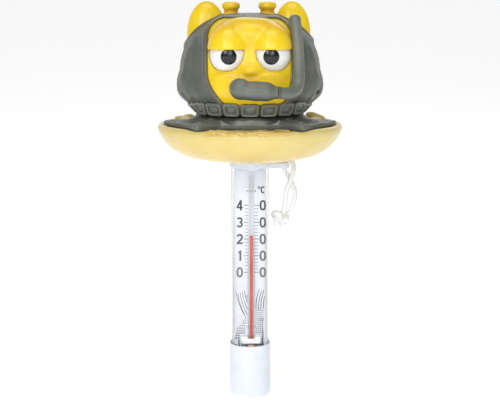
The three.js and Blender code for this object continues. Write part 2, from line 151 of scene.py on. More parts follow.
def outward(verts, faces):
    return faces if volume(verts, faces) > 0 else faces[:, ::-1]


def turned(name, profile, segments=128, shape=None, attrs=None, smooth_turns=True, centre=(0, 0)):
    """A closed profile of (radius, z) turned about Z. Rows on the axis are kept 1e-3 mm off it."""
    p = np.array(profile, dtype=float)
    closed = np.allclose(p[0], p[-1])
    if closed:
        p = p[:-1]
    p[:, 0] = np.maximum(p[:, 0], 1e-3)
    t = np.linspace(0, 2 * np.pi, segments, endpoint=False)
    x = p[:, 0][:, None] * np.cos(t)[None]
    y = p[:, 0][:, None] * np.sin(t)[None]
    z = np.broadcast_to(p[:, 1][:, None], x.shape)
    v = np.stack([x, y, z], -1).reshape(-1, 3)
    if shape is not None:
        v = shape(v)
    v = v + np.array([centre[0], centre[1], 0.0])
    n = len(p)
    f = grid_faces(n, segments)
    if closed:
        last = np.array([[(n - 1) * segments + c, (n - 1) * segments + (c + 1) % segments, (c + 1) % segments, c] for c in range(segments)])
        f = np.concatenate([f, last])
        f = outward(v, f)
        return new_object(name, v, f, attrs=attrs)
    f = outward_open(v, f)
    faces = [tuple(q) for q in f]
    ring0, ring1 = list(range(segments)), list(range((n - 1) * segments, n * segments))
    # tiny end rings are closed by one face each
    bottom_first = f[0][0] < f[0][1]
    faces.append(tuple(ring0[::-1]) if bottom_first else tuple(ring0))
    faces.append(tuple(ring1) if bottom_first else tuple(ring1[::-1]))
    return new_object(name, v, faces)


def outward_open(v, f):
    return f if volume(v, f) > 0 else f[:, ::-1]


def rounded(profile, radius=0.4, steps=4):
    """Rounds a polyline profile's inner corners with short arcs. Ends stay."""
    p = [np.array(q[:2], dtype=float) for q in profile]
    r = [q[2] if len(q) > 2 else radius for q in profile]
    out = [p[0]]
    for i in range(1, len(p) - 1):
        a, b, c = p[i - 1], p[i], p[i + 1]
        la, lc = np.linalg.norm(a - b), np.linalg.norm(c - b)
        k = min(r[i], la * 0.45, lc * 0.45)
        if k < 1e-3:
            out.append(b)
            continue
        u, w = (a - b) / la, (c - b) / lc
        for s in range(steps + 1):
            t = s / steps
            out.append(b + u * k * (1 - t) ** 2 + w * k * t ** 2)
    out.append(p[-1])
    return [tuple(q) for q in out]


def curve_points(points, count, power=0.5):
    """count points on a centripetal Catmull-Rom curve through points."""
    P = np.array(points, dtype=float)
    P = np.vstack([2 * P[0] - P[1], P, 2 * P[-1] - P[-2]])
    out = []
    for i in range(1, len(P) - 2):
        p0, p1, p2, p3 = P[i - 1], P[i], P[i + 1], P[i + 2]
        t0 = 0.0
        t1 = t0 + max(np.linalg.norm(p1 - p0), 1e-6) ** power
        t2 = t1 + max(np.linalg.norm(p2 - p1), 1e-6) ** power
        t3 = t2 + max(np.linalg.norm(p3 - p2), 1e-6) ** power
        t = np.linspace(t1, t2, 40, endpoint=False)[:, None]
        a1 = (t1 - t) / (t1 - t0) * p0 + (t - t0) / (t1 - t0) * p1
        a2 = (t2 - t) / (t2 - t1) * p1 + (t - t1) / (t2 - t1) * p2
        a3 = (t3 - t) / (t3 - t2) * p2 + (t - t2) / (t3 - t2) * p3
        b1 = (t2 - t) / (t2 - t0) * a1 + (t - t0) / (t2 - t0) * a2
        b2 = (t3 - t) / (t3 - t1) * a2 + (t - t1) / (t3 - t1) * a3
        out.append((t2 - t) / (t2 - t1) * b1 + (t - t1) / (t2 - t1) * b2)
    out = np.vstack(out + [P[-2][None]])
    s = np.concatenate([[0], np.cumsum(np.linalg.norm(np.diff(out, axis=0), axis=1))])
    u = np.linspace(0, s[-1], count)
    return np.stack([np.interp(u, s, out[:, k]) for k in range(3)], -1), s[-1]


def sweep(path, radii, sides=24, twist=0.0, section=None):
    """Verts, quads and (u, t) of a closed tube along path; its two ends are closed by one face each."""
    path = np.asarray(path, dtype=float)
    n = len(path)
    radii = np.broadcast_to(np.asarray(radii, dtype=float), (n,))
    tan = np.gradient(path, axis=0)
    tan /= np.linalg.norm(tan, axis=1)[:, None]
    ref = np.array([0.0, 1.0, 0.0]) if abs(tan[0][1]) < 0.9 else np.array([1.0, 0, 0])
    nrm = np.cross(tan[0], ref)
    nrm /= np.linalg.norm(nrm)
    frames = []
    for i in range(n):
        nrm = nrm - tan[i] * nrm.dot(tan[i])
        nrm /= np.linalg.norm(nrm)
        frames.append((nrm.copy(), np.cross(tan[i], nrm)))
    a = np.linspace(0, 2 * np.pi, sides, endpoint=False)
    v = []
    for i in range(n):
        N, B = frames[i]
        ang = a + twist * i / max(1, n - 1)
        rr = radii[i] * (section(a, i) if section else 1.0)
        v.append(path[i] + (rr * np.cos(ang))[:, None] * N + (rr * np.sin(ang))[:, None] * B)
    v = np.vstack(v)
    f = grid_faces(n, sides)
    if volume(v, f) < 0:
        f = f[:, ::-1]
        caps = [list(range(sides)), list(range((n - 1) * sides, n * sides))[::-1]]
    else:
        caps = [list(range(sides))[::-1], list(range((n - 1) * sides, n * sides))]
    faces = [tuple(q) for q in f] + [tuple(c) for c in caps]
    t = np.repeat(np.linspace(0, 1, n), sides)
    u = np.tile(a, n)
    return v, faces, u, t


# ================================================================ distance fields
def smin(a, b, k):
    h = np.clip(0.5 + 0.5 * (b - a) / k, 0, 1)
    return b + (a - b) * h - k * h * (1 - h)


def smax(a, b, k):
    return -smin(-a, -b, k)


def ellipsoid_d(x, y, z, c, r):
    px, py, pz = (x - c[0]) / r[0], (y - c[1]) / r[1], (z - c[2]) / r[2]
    k0 = np.sqrt(px * px + py * py + pz * pz) + 1e-9
    k1 = np.sqrt((px / r[0]) ** 2 + (py / r[1]) ** 2 + (pz / r[2]) ** 2) + 1e-9
    return k0 * (k0 - 1.0) / k1


def dome_d(x, y, z, c, r, n):
    """Superellipsoid: round in plan, exponent n up and down."""
    px, py, pz = (x - c[0]) / r[0], (y - c[1]) / r[1], (z - c[2]) / r[2]
    rho2 = px * px + py * py + 1e-9
    rn = rho2 ** (n / 2)
    zn = (np.abs(pz) + 1e-9) ** n
    s = rn + zn
    g = s ** (1.0 / n)
    # gradient of g
    common = s ** (1.0 / n - 1.0)
    gx = common * rho2 ** (n / 2 - 1) * px / r[0]
    gy = common * rho2 ** (n / 2 - 1) * py / r[1]
    gz = common * (np.abs(pz) + 1e-9) ** (n - 1) / r[2]
    return (g - 1.0) / np.sqrt(gx * gx + gy * gy + gz * gz + 1e-9)


def capsule_d(x, y, z, a, b, ra, rb=None):
    rb = ra if rb is None else rb
    a, b = np.array(a, dtype=float), np.array(b, dtype=float)
    d = b - a
    t = ((x - a[0]) * d[0] + (y - a[1]) * d[1] + (z - a[2]) * d[2]) / d.dot(d)
    t = np.clip(t, 0, 1)
    return np.sqrt((x - a[0] - t * d[0]) ** 2 + (y - a[1] - t * d[1]) ** 2 + (z - a[2] - t * d[2]) ** 2) - (ra + (rb - ra) * t)


def rbox2_d(u, w, hu, hw, r):
    qu, qw = np.abs(u) - (hu - r), np.abs(w) - (hw - r)
    return np.sqrt(np.maximum(qu, 0) ** 2 + np.maximum(qw, 0) ** 2) + np.minimum(np.maximum(qu, qw), 0) - r


def surface_net(fn, lo, hi, h):
    """Meshes fn < 0 in the box lo..hi with cells of h. Returns verts and quads facing out."""
    lo, hi = np.array(lo, dtype=float), np.array(hi, dtype=float)
    n = np.ceil((hi - lo) / h).astype(int) + 1
    ax = [lo[i] + h * np.arange(n[i]) for i in range(3)]
    F = np.empty(tuple(n), dtype=np.float32)
    step = max(1, int(600000 // (n[1] * n[2])))
    for i in range(0, n[0], step):
        X, Y, Z = np.meshgrid(ax[0][i:i + step], ax[1], ax[2], indexing="ij")
        F[i:i + step] = fn(X, Y, Z)
    inside = F < 0
    cnt = np.zeros(tuple(n - 1), dtype=np.int8)
    for dx in (0, 1):
        for dy in (0, 1):
            for dz in (0, 1):
                cnt += inside[dx:n[0] - 1 + dx, dy:n[1] - 1 + dy, dz:n[2] - 1 + dz]
    active = (cnt > 0) & (cnt < 8)
    I, J, K = np.nonzero(active)
    m = len(I)
    idx = np.full(tuple(n - 1), -1, dtype=np.int32)
    idx[I, J, K] = np.arange(m)
    corner = [(a, b, c) for a in (0, 1) for b in (0, 1) for c in (0, 1)]
    val = {c: F[I + c[0], J + c[1], K + c[2]] for c in corner}
    acc = np.zeros((m, 3))
    num = np.zeros(m)
    for a in corner:
        for axis in range(3):
            if a[axis]:
                continue
            b = list(a)
            b[axis] = 1
            b = tuple(b)
            fa, fb = val[a], val[b]
            cross = (fa < 0) != (fb < 0)
            t = np.where(cross, fa / np.where(cross, fa - fb, 1), 0)
            p = np.array(a, dtype=float)[None].repeat(m, 0)
            p[:, axis] += t
            acc[cross] += p[cross]
            num += cross
    pos = acc / num[:, None] + np.stack([I, J, K], -1)
    verts = lo + pos * h
    quads = []
    for axis in range(3):
        sl0 = [slice(None)] * 3
        sl1 = [slice(None)] * 3
        sl0[axis] = slice(0, n[axis] - 1)
        sl1[axis] = slice(1, n[axis])
        a, b = inside[tuple(sl0)], inside[tuple(sl1)]
        u, w = [k for k in range(3) if k != axis]
        ii = np.stack(np.nonzero(a != b), -1)
        ok = (ii[:, u] > 0) & (ii[:, w] > 0) & (ii[:, u] < n[u] - 1) & (ii[:, w] < n[w] - 1)
        ii = ii[ok]
        s = a[ii[:, 0], ii[:, 1], ii[:, 2]]
        def cell(du, dw):
            q = ii.copy()
            q[:, u] += du
            q[:, w] += dw
            return idx[q[:, 0], q[:, 1], q[:, 2]]
        q = np.stack([cell(-1, -1), cell(0, -1), cell(0, 0), cell(-1, 0)], -1)
        if axis == 1:
            s = ~s
        q[~s] = q[~s][:, ::-1]
        quads.append(q)
    quads = np.concatenate(quads)
    quads = quads[(quads >= 0).all(1)]
    if volume(verts, quads) < 0:
        quads = quads[:, ::-1]
    return verts, quads


def field_at(fn, v):
    return fn(v[:, 0], v[:, 1], v[:, 2])


def field_normals(fn, v, e=0.08):
    g = np.stack([
        fn(v[:, 0] + e, v[:, 1], v[:, 2]) - fn(v[:, 0] - e, v[:, 1], v[:, 2]),
        fn(v[:, 0], v[:, 1] + e, v[:, 2]) - fn(v[:, 0], v[:, 1] - e, v[:, 2]),
        fn(v[:, 0], v[:, 1], v[:, 2] + e) - fn(v[:, 0], v[:, 1], v[:, 2] - e)], -1) / (2 * e)
    return g


def sculpt(name, fn, lo, hi, h, project=2, hollow=(1.2, 3.0), blur=4):
    """A mesh object of the field fn < 0 with attributes: hollow (0 open, 1 deep crease), which materials use for
    painted shade, and edge, used for painted highlight.
    """
    v, q = surface_net(fn, lo, hi, h)
    for _ in range(project):
        g = field_normals(fn, v)
        f = field_at(fn, v)
        l2 = np.maximum((g * g).sum(1), 0.25)
        step = np.clip(f / l2, -0.5 * h, 0.5 * h)
        v = v - g * step[:, None] * 0.9
    # drop loose crumbs: keep the largest connected body only
    v, q = largest_body(v, q)
    g = field_normals(fn, v)
    nrm = g / np.maximum(np.linalg.norm(g, axis=1), 1e-6)[:, None]
    occ = np.zeros(len(v))
    for t in hollow:
        occ += np.clip(1 - field_at(fn, v + nrm * t) / t, 0, 1) / len(hollow)
    # the other way round: how sharp an outer edge is, for the painted highlight on edges
    edge = np.clip(1 + field_at(fn, v - nrm * 0.8) / 0.8, 0, 1)
    return new_object(name, v, q, attrs={"hollow": soften(occ, q, blur), "edge": soften(edge, q, 2)})


def soften(value, q, times):
    """Averages a value per vertex with its neighbours' along the mesh's edges."""
    a = np.concatenate([q[:, 0], q[:, 1], q[:, 2], q[:, 3]])
    b = np.concatenate([q[:, 1], q[:, 2], q[:, 3], q[:, 0]])
    n = len(value)
    count = np.bincount(a, minlength=n) + np.bincount(b, minlength=n)
    for _ in range(times):
        near = np.bincount(a, value[b], minlength=n) + np.bincount(b, value[a], minlength=n)
        value = 0.4 * value + 0.6 * near / np.maximum(count, 1)
    return value


def largest_body(v, q):
    n = len(v)
    label = np.arange(n)
    a = np.concatenate([q[:, 0], q[:, 1], q[:, 2], q[:, 3]])
    b = np.concatenate([q[:, 1], q[:, 2], q[:, 3], q[:, 0]])
    while True:
        m = np.minimum(label[a], label[b])
        new = label.copy()
        np.minimum.at(new, a, m)
        np.minimum.at(new, b, m)
        new = new[new]
        if np.array_equal(new, label):
            break
        label = new
    ids, counts = np.unique(label, return_counts=True)
    keep_id = ids[counts.argmax()]
    used = label == keep_id
    if used.all():
        return v, q
    remap = np.cumsum(used) - 1
    q = q[used[q].all(1)]
    return v[used], remap[q]


# ================================================================ materials
def node_tree(name):
    m = bpy.data.materials.new(name)
    m.use_nodes = True
    nt = m.node_tree
    nt.nodes.clear()
    out = nt.nodes.new("ShaderNodeOutputMaterial")
    bsdf = nt.nodes.new("ShaderNodeBsdfPrincipled")
    nt.links.new(bsdf.outputs[0], out.inputs[0])
    return m, nt, bsdf


class Mat:
    """Small helper that strings nodes together on object coordinates, in mm."""

    def __init__(self, name):
        self.m, self.nt, self.bsdf = node_tree(name)
        self.geo = self.nt.nodes.new("ShaderNodeTexCoord")
        sc = self.nt.nodes.new("ShaderNodeVectorMath")
        sc.operation = "SCALE"
        sc.inputs[3].default_value = 1000.0
        self.nt.links.new(self.geo.outputs["Object"], sc.inputs[0])
        self.mm = sc.outputs[0]

    def link(self, a, b):
        self.nt.links.new(a, b)

    def stretch(self, by):
        n = self.nt.nodes.new("ShaderNodeVectorMath")
        n.operation = "MULTIPLY"
        n.inputs[1].default_value = by
        self.link(self.mm, n.inputs[0])
        return n.outputs[0]

    def noise(self, scale, detail=3, rough=0.55, distortion=0.0, vector=None):
        n = self.nt.nodes.new("ShaderNodeTexNoise")
        n.inputs["Scale"].default_value = scale
        n.inputs["Detail"].default_value = detail
        n.inputs["Roughness"].default_value = rough
        n.inputs["Distortion"].default_value = distortion
        self.link(vector or self.mm, n.inputs["Vector"])
        return n.outputs["Fac"]

    def voronoi(self, scale, feature="F1", vector=None):
        n = self.nt.nodes.new("ShaderNodeTexVoronoi")
        n.feature = feature
        n.inputs["Scale"].default_value = scale
        self.link(vector or self.mm, n.inputs["Vector"])
        return n.outputs["Distance"]

    def attr(self, name):
        n = self.nt.nodes.new("ShaderNodeAttribute")
        n.attribute_name = name
        return n.outputs["Fac"]

    def ramp(self, fac, stops, mode="LINEAR"):
        n = self.nt.nodes.new("ShaderNodeValToRGB")
        n.color_ramp.interpolation = mode
        els = n.color_ramp.elements
        while len(els) < len(stops):
            els.new(0.5)
        for e, (p, c) in zip(els, stops):
            e.position = p
            e.color = (*c, 1) if len(c) == 3 else c
        self.link(fac, n.inputs[0])
        return n.outputs[0]

    def mix(self, fac, a, b, blend="MIX"):
        n = self.nt.nodes.new("ShaderNodeMix")
        n.data_type = "RGBA"
        n.blend_type = blend
        for sock, val in ((n.inputs[0], fac), (n.inputs[6], a), (n.inputs[7], b)):
            if isinstance(val, (int, float)):
                sock.default_value = val
            elif isinstance(val, tuple):
                sock.default_value = (*val, 1) if len(val) == 3 else val
            else:
                self.link(val, sock)
        return n.outputs[2]

    def math(self, op, a, b=0.0, clamp=False):
        n = self.nt.nodes.new("ShaderNodeMath")
        n.operation = op
        n.use_clamp = clamp
        for sock, val in ((n.inputs[0], a), (n.inputs[1], b)):
            if isinstance(val, (int, float)):
                sock.default_value = val
            else:
                self.link(val, sock)
        return n.outputs[0]

    def remap(self, v, a, b, c, d):
        n = self.nt.nodes.new("ShaderNodeMapRange")
        n.inputs[1].default_value, n.inputs[2].default_value = a, b
        n.inputs[3].default_value, n.inputs[4].default_value = c, d
        self.link(v, n.inputs[0])
        return n.outputs[0]

    def axis(self, i):
        n = self.nt.nodes.new("ShaderNodeSeparateXYZ")
        self.link(self.mm, n.inputs[0])
        return n.outputs[i]

    def colour(self, c):
        if isinstance(c, tuple):
            self.bsdf.inputs["Base Color"].default_value = (*c, 1)
        else:
            self.link(c, self.bsdf.inputs["Base Color"])

    def rough(self, r):
        if isinstance(r, (int, float)):
            self.bsdf.inputs["Roughness"].default_value = r
        else:
            self.link(r, self.bsdf.inputs["Roughness"])

    def bump(self, height, strength=0.2, distance=0.05):
        n = self.nt.nodes.new("ShaderNodeBump")
        n.inputs["Strength"].default_value = strength
        n.inputs["Distance"].default_value = distance * MM
        self.link(height, n.inputs["Height"])
        self.link(n.outputs[0], self.bsdf.inputs["Normal"])
        return n

    def set(self, **kw):
        for k, v in kw.items():
            self.bsdf.inputs[k.replace("_", " ")].default_value = v


def srgb(r, g, b):
    def f(c):
        c = c / 255
        return c / 12.92 if c <= 0.04045 else ((c + 0.055) / 1.055) ** 2.4
    return (f(r), f(g), f(b))


def make_vinyl(name="grey_vinyl", gain=1.0):
    m = Mat(name)
    hollow, edge = m.attr("hollow"), m.attr("edge")
    tone = lambda r, g, b: srgb(r * gain, g * gain, b * gain)
    cloud = m.noise(0.09, 3)
    base = m.mix(m.remap(cloud, 0.35, 0.65, 0, 1), tone(89, 93, 86), tone(102, 105, 95))
    # painted shade: darker grey where the hollow value is high, in creases, recesses and under parts
    dark = m.mix(m.remap(hollow, 0.15, 0.85, 0, 1), base, tone(56, 60, 57))
    # painted highlight: lighter grey on sharp outer edges and ridges, broken up by noise
    edge_highlight = m.math("MULTIPLY", m.remap(edge, 0.35, 0.9, 0, 1), m.remap(m.noise(0.5, 4), 0.3, 0.7, 0.5, 1))
    col = m.mix(m.math("MULTIPLY", edge_highlight, 0.65), dark, tone(166, 169, 158))
    m.colour(col)
    m.rough(m.remap(m.noise(0.35, 5), 0.3, 0.7, 0.36, 0.5))
    m.bump(m.noise(3.2, 4), 0.25, 0.05)
    m.set(IOR=1.5)
    return m.m


def make_skin():
    m = Mat("yellow_vinyl")
    hollow = m.attr("hollow")
    cloud = m.noise(0.08, 3)
    base = m.mix(m.remap(cloud, 0.35, 0.65, 0, 1), srgb(243, 205, 30), srgb(248, 214, 42))
    # painted shade: orange, then deeper orange, in hollows and creases
    warm = m.mix(m.remap(hollow, 0.08, 0.6, 0, 1), base, srgb(232, 170, 26))
    deep = m.mix(m.remap(hollow, 0.6, 1.0, 0, 0.7), warm, srgb(196, 120, 16))
    # painted shade: orange along the top outline of the lids, where they meet the forehead; on the horns the same input
    # gives an even orange tone
    lid = m.attr("tint")
    col = m.mix(m.math("MULTIPLY", lid, 0.4), deep, srgb(240, 180, 28))
    m.colour(col)
    m.rough(m.remap(m.noise(0.4, 4), 0.3, 0.7, 0.26, 0.33))
    m.bump(m.noise(1.4, 2), 0.06, 0.04)
    m.set(IOR=1.5, Subsurface_Weight=0.0)
    return m.m


def make_eye():
    m = Mat("eye_paint")
    x, y, z = m.axis(0), m.axis(1), m.axis(2)
    ax = m.math("ABSOLUTE", x)
    dx = m.math("SUBTRACT", ax, EYE_X)
    dz = m.math("SUBTRACT", z, PUPIL_Z)
    r = m.math("SQRT", m.math("ADD", m.math("MULTIPLY", dx, dx), m.math("MULTIPLY", dz, dz)))
    front = m.math("LESS_THAN", y, -22.0)
    inside = m.math("MULTIPLY", m.remap(r, PUPIL_R - 0.08, PUPIL_R + 0.08, 1, 0), front)
    gx = m.math("SUBTRACT", dx, 0.0)
    gz = m.math("SUBTRACT", dz, 0.0)
    white = m.mix(m.remap(m.noise(0.2, 2), 0.3, 0.7, 0, 1), srgb(246, 246, 244), srgb(238, 239, 240))
    # painted shade on the white where the lids and face lie close over it
    white = m.mix(m.remap(m.attr("hollow"), 0.15, 0.9, 0, 0.8), white, srgb(214, 200, 190))
    m.colour(m.mix(inside, white, srgb(20, 20, 22)))
    m.rough(m.remap(m.noise(0.5, 3), 0.3, 0.7, 0.14, 0.22))
    m.bump(m.noise(1.2, 2), 0.05, 0.02)
    m.set(IOR=1.5)
    return m.m


def make_sand(name, grain=0.12, rough=(0.22, 0.34)):
    m = Mat(name)
    hollow = m.attr("hollow")
    cloud = m.noise(0.07, 3)
    base = m.mix(m.remap(cloud, 0.35, 0.65, 0, 1), srgb(221, 198, 119), srgb(226, 207, 131))
    # painted shade: darker towards the bottom of the piece
    under = m.mix(m.remap(m.axis(2), -8.0, 3.0, 0.8, 0), base, srgb(216, 188, 110))
    # warmer where the hollow value is high: on the dish rim's sand band this is its own ochre tone; in creases and
    # hollows it is painted shade, which deepens to brown
    warm = m.mix(m.remap(hollow, 0.1, 0.55, 0, 1), under, srgb(224, 188, 102))
    col = m.mix(m.remap(hollow, 0.5, 1.0, 0, 0.85), warm, srgb(176, 136, 66))
    m.colour(col)
    m.rough(m.remap(m.noise(0.5, 4), 0.3, 0.7, *rough))
    m.bump(m.noise(1.1, 3), grain, 0.04)
    m.set(IOR=1.5)
    return m.m


def make_white(name, c0, c1, r0=0.3, r1=0.42):
    m = Mat(name)
    m.colour(m.mix(m.remap(m.noise(0.12, 3), 0.35, 0.65, 0, 1), c0, c1))
    m.rough(m.remap(m.noise(0.6, 4), 0.3, 0.7, r0, r1))
    m.bump(m.noise(2.5, 4), 0.1, 0.03)
    m.set(IOR=1.48)
    return m.m


# ================================================================ figure: shapes
EYE_X, EYE_Y, EYE_Z, EYE_R = 9.75, -25.6, 43.4, 9.1
LID_Z = 46.0
PUPIL_Z, PUPIL_R = 42.9, 3.7
EARS = {-1: ((-21.0, 5.0, 52.0), (9.6, 6.4, 15.9)), 1: ((20.3, 5.0, 52.0), (9.1, 6.4, 15.9))}
HORNS = {-1: -9.2, 1: 8.4}
HORN_Y = 5.0


def hood_outer(x, y, z):
    upper = dome_d(x, y, z, (0, 0, 33), (34.0, 33.2, 29.0), 2.3)
    top = dome_d(x, y, z, (0, 0, 33), (22.5, 32.4, 28.7), 3.2)
    cheeks = dome_d(x, y, z, (0, 0, 28.2), (35.5, 33.9, 14.2), 2.6)
    d = smin(smin(upper, top, 2.0), cheeks, 1.4)
    # drawn in to the neck
    cone = (np.sqrt(x * x + y * y) - 26.0 - 1.22 * (z - 15.4)) * 0.634
    return smax(d, cone, 2.4)


def face_2d(x, z):
    """The opening's outline from the front; its lower corners are cut off, the right one less."""
    top = 61.3 - 0.5 * np.exp(-((x - 4.5) / 6.0) ** 2)
    lift = (top + 18.6) / 2
    box = rbox2_d(x + 0.25, z - lift, 20.8, top - lift, 9.8)
    left = -0.816 * (x + 20.6) - 0.578 * (z - 29.9)
    right = 0.972 * (x - 21.0) - 0.235 * (z - 30.5)
    return smax(smax(box, left, 3.0), right, 3.0)


def ear_d(s, x, y, z):
    c, r = EARS[s]
    return ellipsoid_d(x, y, z, c, r)


def horn_profile():
    return [(5.6, 55), (5.3, 58.6), (4.5, 60.6), (3.8, 61.9), (3.35, 63.0), (3.4, 63.75), (3.95, 64.25),
            (4.38, 64.9), (4.4, 65.9), (4.05, 66.8), (3.3, 67.35), (2.0, 67.6)]


def horn_d(s, x, y, z):
    P = HORN_TAB
    r = np.sqrt((x - HORNS[s]) ** 2 + (y - HORN_Y) ** 2)
    return np.maximum(r - np.interp(z, P[1], P[0]), z - 67.6)


_hp = horn_profile()
HORN_TAB = (np.array([p[0] for p in _hp]), np.array([p[1] for p in _hp]))

SNORKEL = [(20.9, -23.9, 59.0), (21.4, -24.6, 54), (22.1, -25.9, 46), (22.5, -27.6, 38), (22.5, -29.8, 32),
           (21.4, -32.9, 28.2), (18.8, -36.4, 26.7), (15.8, -38.9, 26.6), (12.4, -40.1, 27.05)]
SNORKEL_PTS, _len = curve_points(SNORKEL, 60)
SNORKEL_R = 2.75


def snorkel_d(x, y, z, pad=0.0):
    best = None
    P = SNORKEL_PTS[::4]
    for a, b in zip(P[:-1], P[1:]):
        d = capsule_d(x, y, z, a, b, SNORKEL_R + pad)
        best = d if best is None else np.minimum(best, d)
    return best


def mouth_d(x, y, z):
    """The bulbous mouthpiece: two lobes joined by a soft waist, necking down to the tube."""
    ca, sa = math.cos(0.05), math.sin(0.05)
    yy, zz = y + 40.2, z - 28.0
    u = x * ca - zz * sa
    w = x * sa + zz * ca
    a = capsule_d(u, yy, w, (-4.9, 0, 0.75), (-4.3, 0, 0.65), 4.55, 4.6)
    b = capsule_d(u, yy, w, (2.2, 0, -0.1), (7.2, 0, -0.2), 4.35, 4.45)
    c = capsule_d(u, yy, w, (-4.5, 0, -0.3), (2.0, 0, -0.35), 4.1, 4.1)
    d = smin(smin(a, b, 1.6), c, 1.2)
    neck = capsule_d(u, yy, w, (7, 0, -0.3), (12.4, 0, -0.4), 3.0, 2.8)
    d = smin(d, neck, 1.6)
    return smax(d, u - 12.7, 0.3)


def hem_d(x, y, z, d0, face):
    """The rolled hem round the face opening, thinner over the forehead."""
    return smax(np.sqrt(face ** 2 + (d0 + 0.2) ** 2) - np.clip(1.3 - (z - 54) * 0.05, 0.95, 1.3), y + 4.0, 1.0)


def hood_shell(x, y, z):
    d0 = hood_outer(x, y, z)
    face = face_2d(x, z)
    front = np.clip((-3.0 - y) / 6.0, 0, 1)
    # soft valley that runs round behind the face hem
    d0 = d0 + 0.55 * np.exp(-((face - 3.6) / 1.5) ** 2) * front
    # pleats where the hood is gathered above the collar
    th = np.arctan2(y, x)
    d0 = d0 + 0.22 * np.cos(30 * th + 1.2 * np.sin(3 * th)) * np.exp(-((z - 22.5) / 2.6) ** 2)
    # slack folds on the cheeks and the sides
    for s in (-1, 1):
        d0 = d0 + 0.5 * np.exp(-(capsule_d(x, y, z, (s * 34.6, -7.0, 28.5), (s * 30.5, -15.5, 22.6), 0.0) / 1.0) ** 2)
        d0 = d0 - 0.45 * np.exp(-(capsule_d(x, y, z, (s * 29.0, -13.5, 46.0), (s * 31.6, -12.5, 33.0), 0.0) / 2.2) ** 2)
        d0 = d0 + 0.35 * np.exp(-(capsule_d(x, y, z, (s * 33.5, 3.0, 44.0), (s * 35.6, 5.5, 31.0), 0.0) / 1.6) ** 2)
        d0 = d0 - 0.4 * np.exp(-(capsule_d(x, y, z, (s * 20.0, 27.0, 46.0), (s * 24.0, 25.0, 30.0), 0.0) / 2.4) ** 2)
    d0 = d0 + 0.9 * np.exp(-(((x - 32.1) ** 2 + (z - 25.4) ** 2) / 0.85)) * (y < 0)
    d0 = d0 + 0.45 * np.exp(-(capsule_d(x, y, z, (-31.8, -11.5, 24.6), (-29.8, -14.0, 21.3), 0.0) / 0.7) ** 2)
    for q in ((-31.2, 1.0, 47.2), (30.2, 1.0, 49.4)):
        d0 = d0 - 1.1 * np.exp(-((x - q[0]) ** 2 + ((y - q[1]) / 3.5) ** 2 + (z - q[2]) ** 2) / 2.6)
    # moulded seam down the back
    d0 = d0 + 0.35 * np.exp(-(x / 0.55) ** 2) * (y > 5)
    d = smax(d0, -(d0 + 2.0), 0.4)
    d = smax(d, -smax(face, y + 4.0, 1.0), 0.5)
    d = smin(d, hem_d(x, y, z, d0, face), 0.7)
    up = 43.8 - z
    for s in (-1, 1):
        e = ear_d(s, x, y, z)
        d = smax(d, -smax(e - 0.35, up, 0.5), 0.4)
        d = smin(d, smax(np.sqrt((e - 1.1) ** 2 + (d0 + 0.15) ** 2) - 1.1, up, 0.5), 0.6)
        h = horn_d(s, x, y, z)
        d = smax(d, -(h - 0.3), 0.3)
    d = smax(d, -(snorkel_d(x, y, z, 0.2)), 0.2)
    return smax(d, 15.45 - z, 0.3)


def head_d(x, y, z):
    d0 = hood_outer(x, y, z)
    face = face_2d(x, z)
    skull = smax(d0 + 2.35, 15.7 - z, 0.8)
    plate = smax(d0 + 0.3, face + 0.3, 0.8)
    plate = smax(plate, y + 3.0, 2.0)
    # forehead behind the lids
    brow = ellipsoid_d(x, y, z, (0, -20.0, 52.2), (16.5, 11.6, 8.9))
    muzzle = ellipsoid_d(x, y, z, (0, -23.4, 28.6), (17.8, 12.3, 9.2))
    cheeks = smin(ellipsoid_d(x, y, z, (-10.5, -24.5, 33.0), (6.6, 7.4, 4.6)), ellipsoid_d(x, y, z, (10.5, -24.5, 33.0), (6.6, 7.4, 4.6)), 1.0)
    nose = ellipsoid_d(x, y, z, (0, -31.3, 36.2), (4.6, 4.4, 2.6))
    soft = smin(smin(brow, muzzle, 2.0), cheeks, 2.2)
    soft = smin(soft, nose, 2.0)
    soft = smax(soft, face + 0.5, 1.2)
    # a soft fold under each eye
    ux, uz = (np.abs(x) - 4.2) / 12.6, z - 34.6 + 1.1 * ((np.abs(x) - 10.5) / 6.3) ** 2
    soft = soft - 0.75 * np.exp(-(uz / 1.15) ** 2) * np.exp(-((ux - 0.5) / 0.55) ** 4) * (y < -18)
    d = smin(smin(skull, plate, 0.6), soft, 2.2)
    ex, ey, ez = np.abs(x) - EYE_X, y - EYE_Y, z - EYE_Z
    er = np.sqrt(ex * ex + ey * ey + ez * ez)
    # upper lids: a full dome over each eye with a straight lower edge
    dome = ellipsoid_d(np.abs(x), y, z, (EYE_X + 0.1, -24.6, 45.4), (10.1, 10.6, 12.4))
    lid = smax(smax(dome, LID_Z - z, 0.4), face + 0.7, 0.8)
    d = smin(d, lid, 1.1)
    d = smax(d, -(er - EYE_R - 0.12), 0.12)
    d = smax(d, -(hem_d(x, y, z, d0, face) - 0.1), 0.15)
    # nostrils
    for s in (-1, 1):
        d = smax(d, -ellipsoid_d(x, y, z, (s * 2.3, -36.1, 36.2), (0.85, 1.2, 0.6)), 0.4)
    d = smax(d, -(mouth_d(x, y, z) - 0.12), 0.4)
    d = smax(d, -(snorkel_d(x, y, z, 0.15)), 0.3)
    for s in (-1, 1):
        d = smax(d, -smax(ear_d(s, x, y, z) - 0.12, 43.8 - z, 0.2), 0.2)
        d = smax(d, -(horn_d(s, x, y, z) - 0.12), 0.2)
    # hollow inside, open at the neck
    inner = smin(ellipsoid_d(x, y, z, (0, 5.5, 34), (24, 17.5, 19)), smax(np.sqrt(x * x + (y - 2.5) ** 2) - 14.0, z - 26, 0.5), 1.0)
    neck = smax(smax(np.sqrt(x * x + y * y) - 19.9, 8.9 - z, 0.4), z - 19, 0.4)
    d = smin(d, neck, 0.4)
    return smax(d, -inner, 0.3)


BEAD_N, BEAD_R, BEAD_Z, BEAD_T = 22, 30.0, 18.6, 0.34


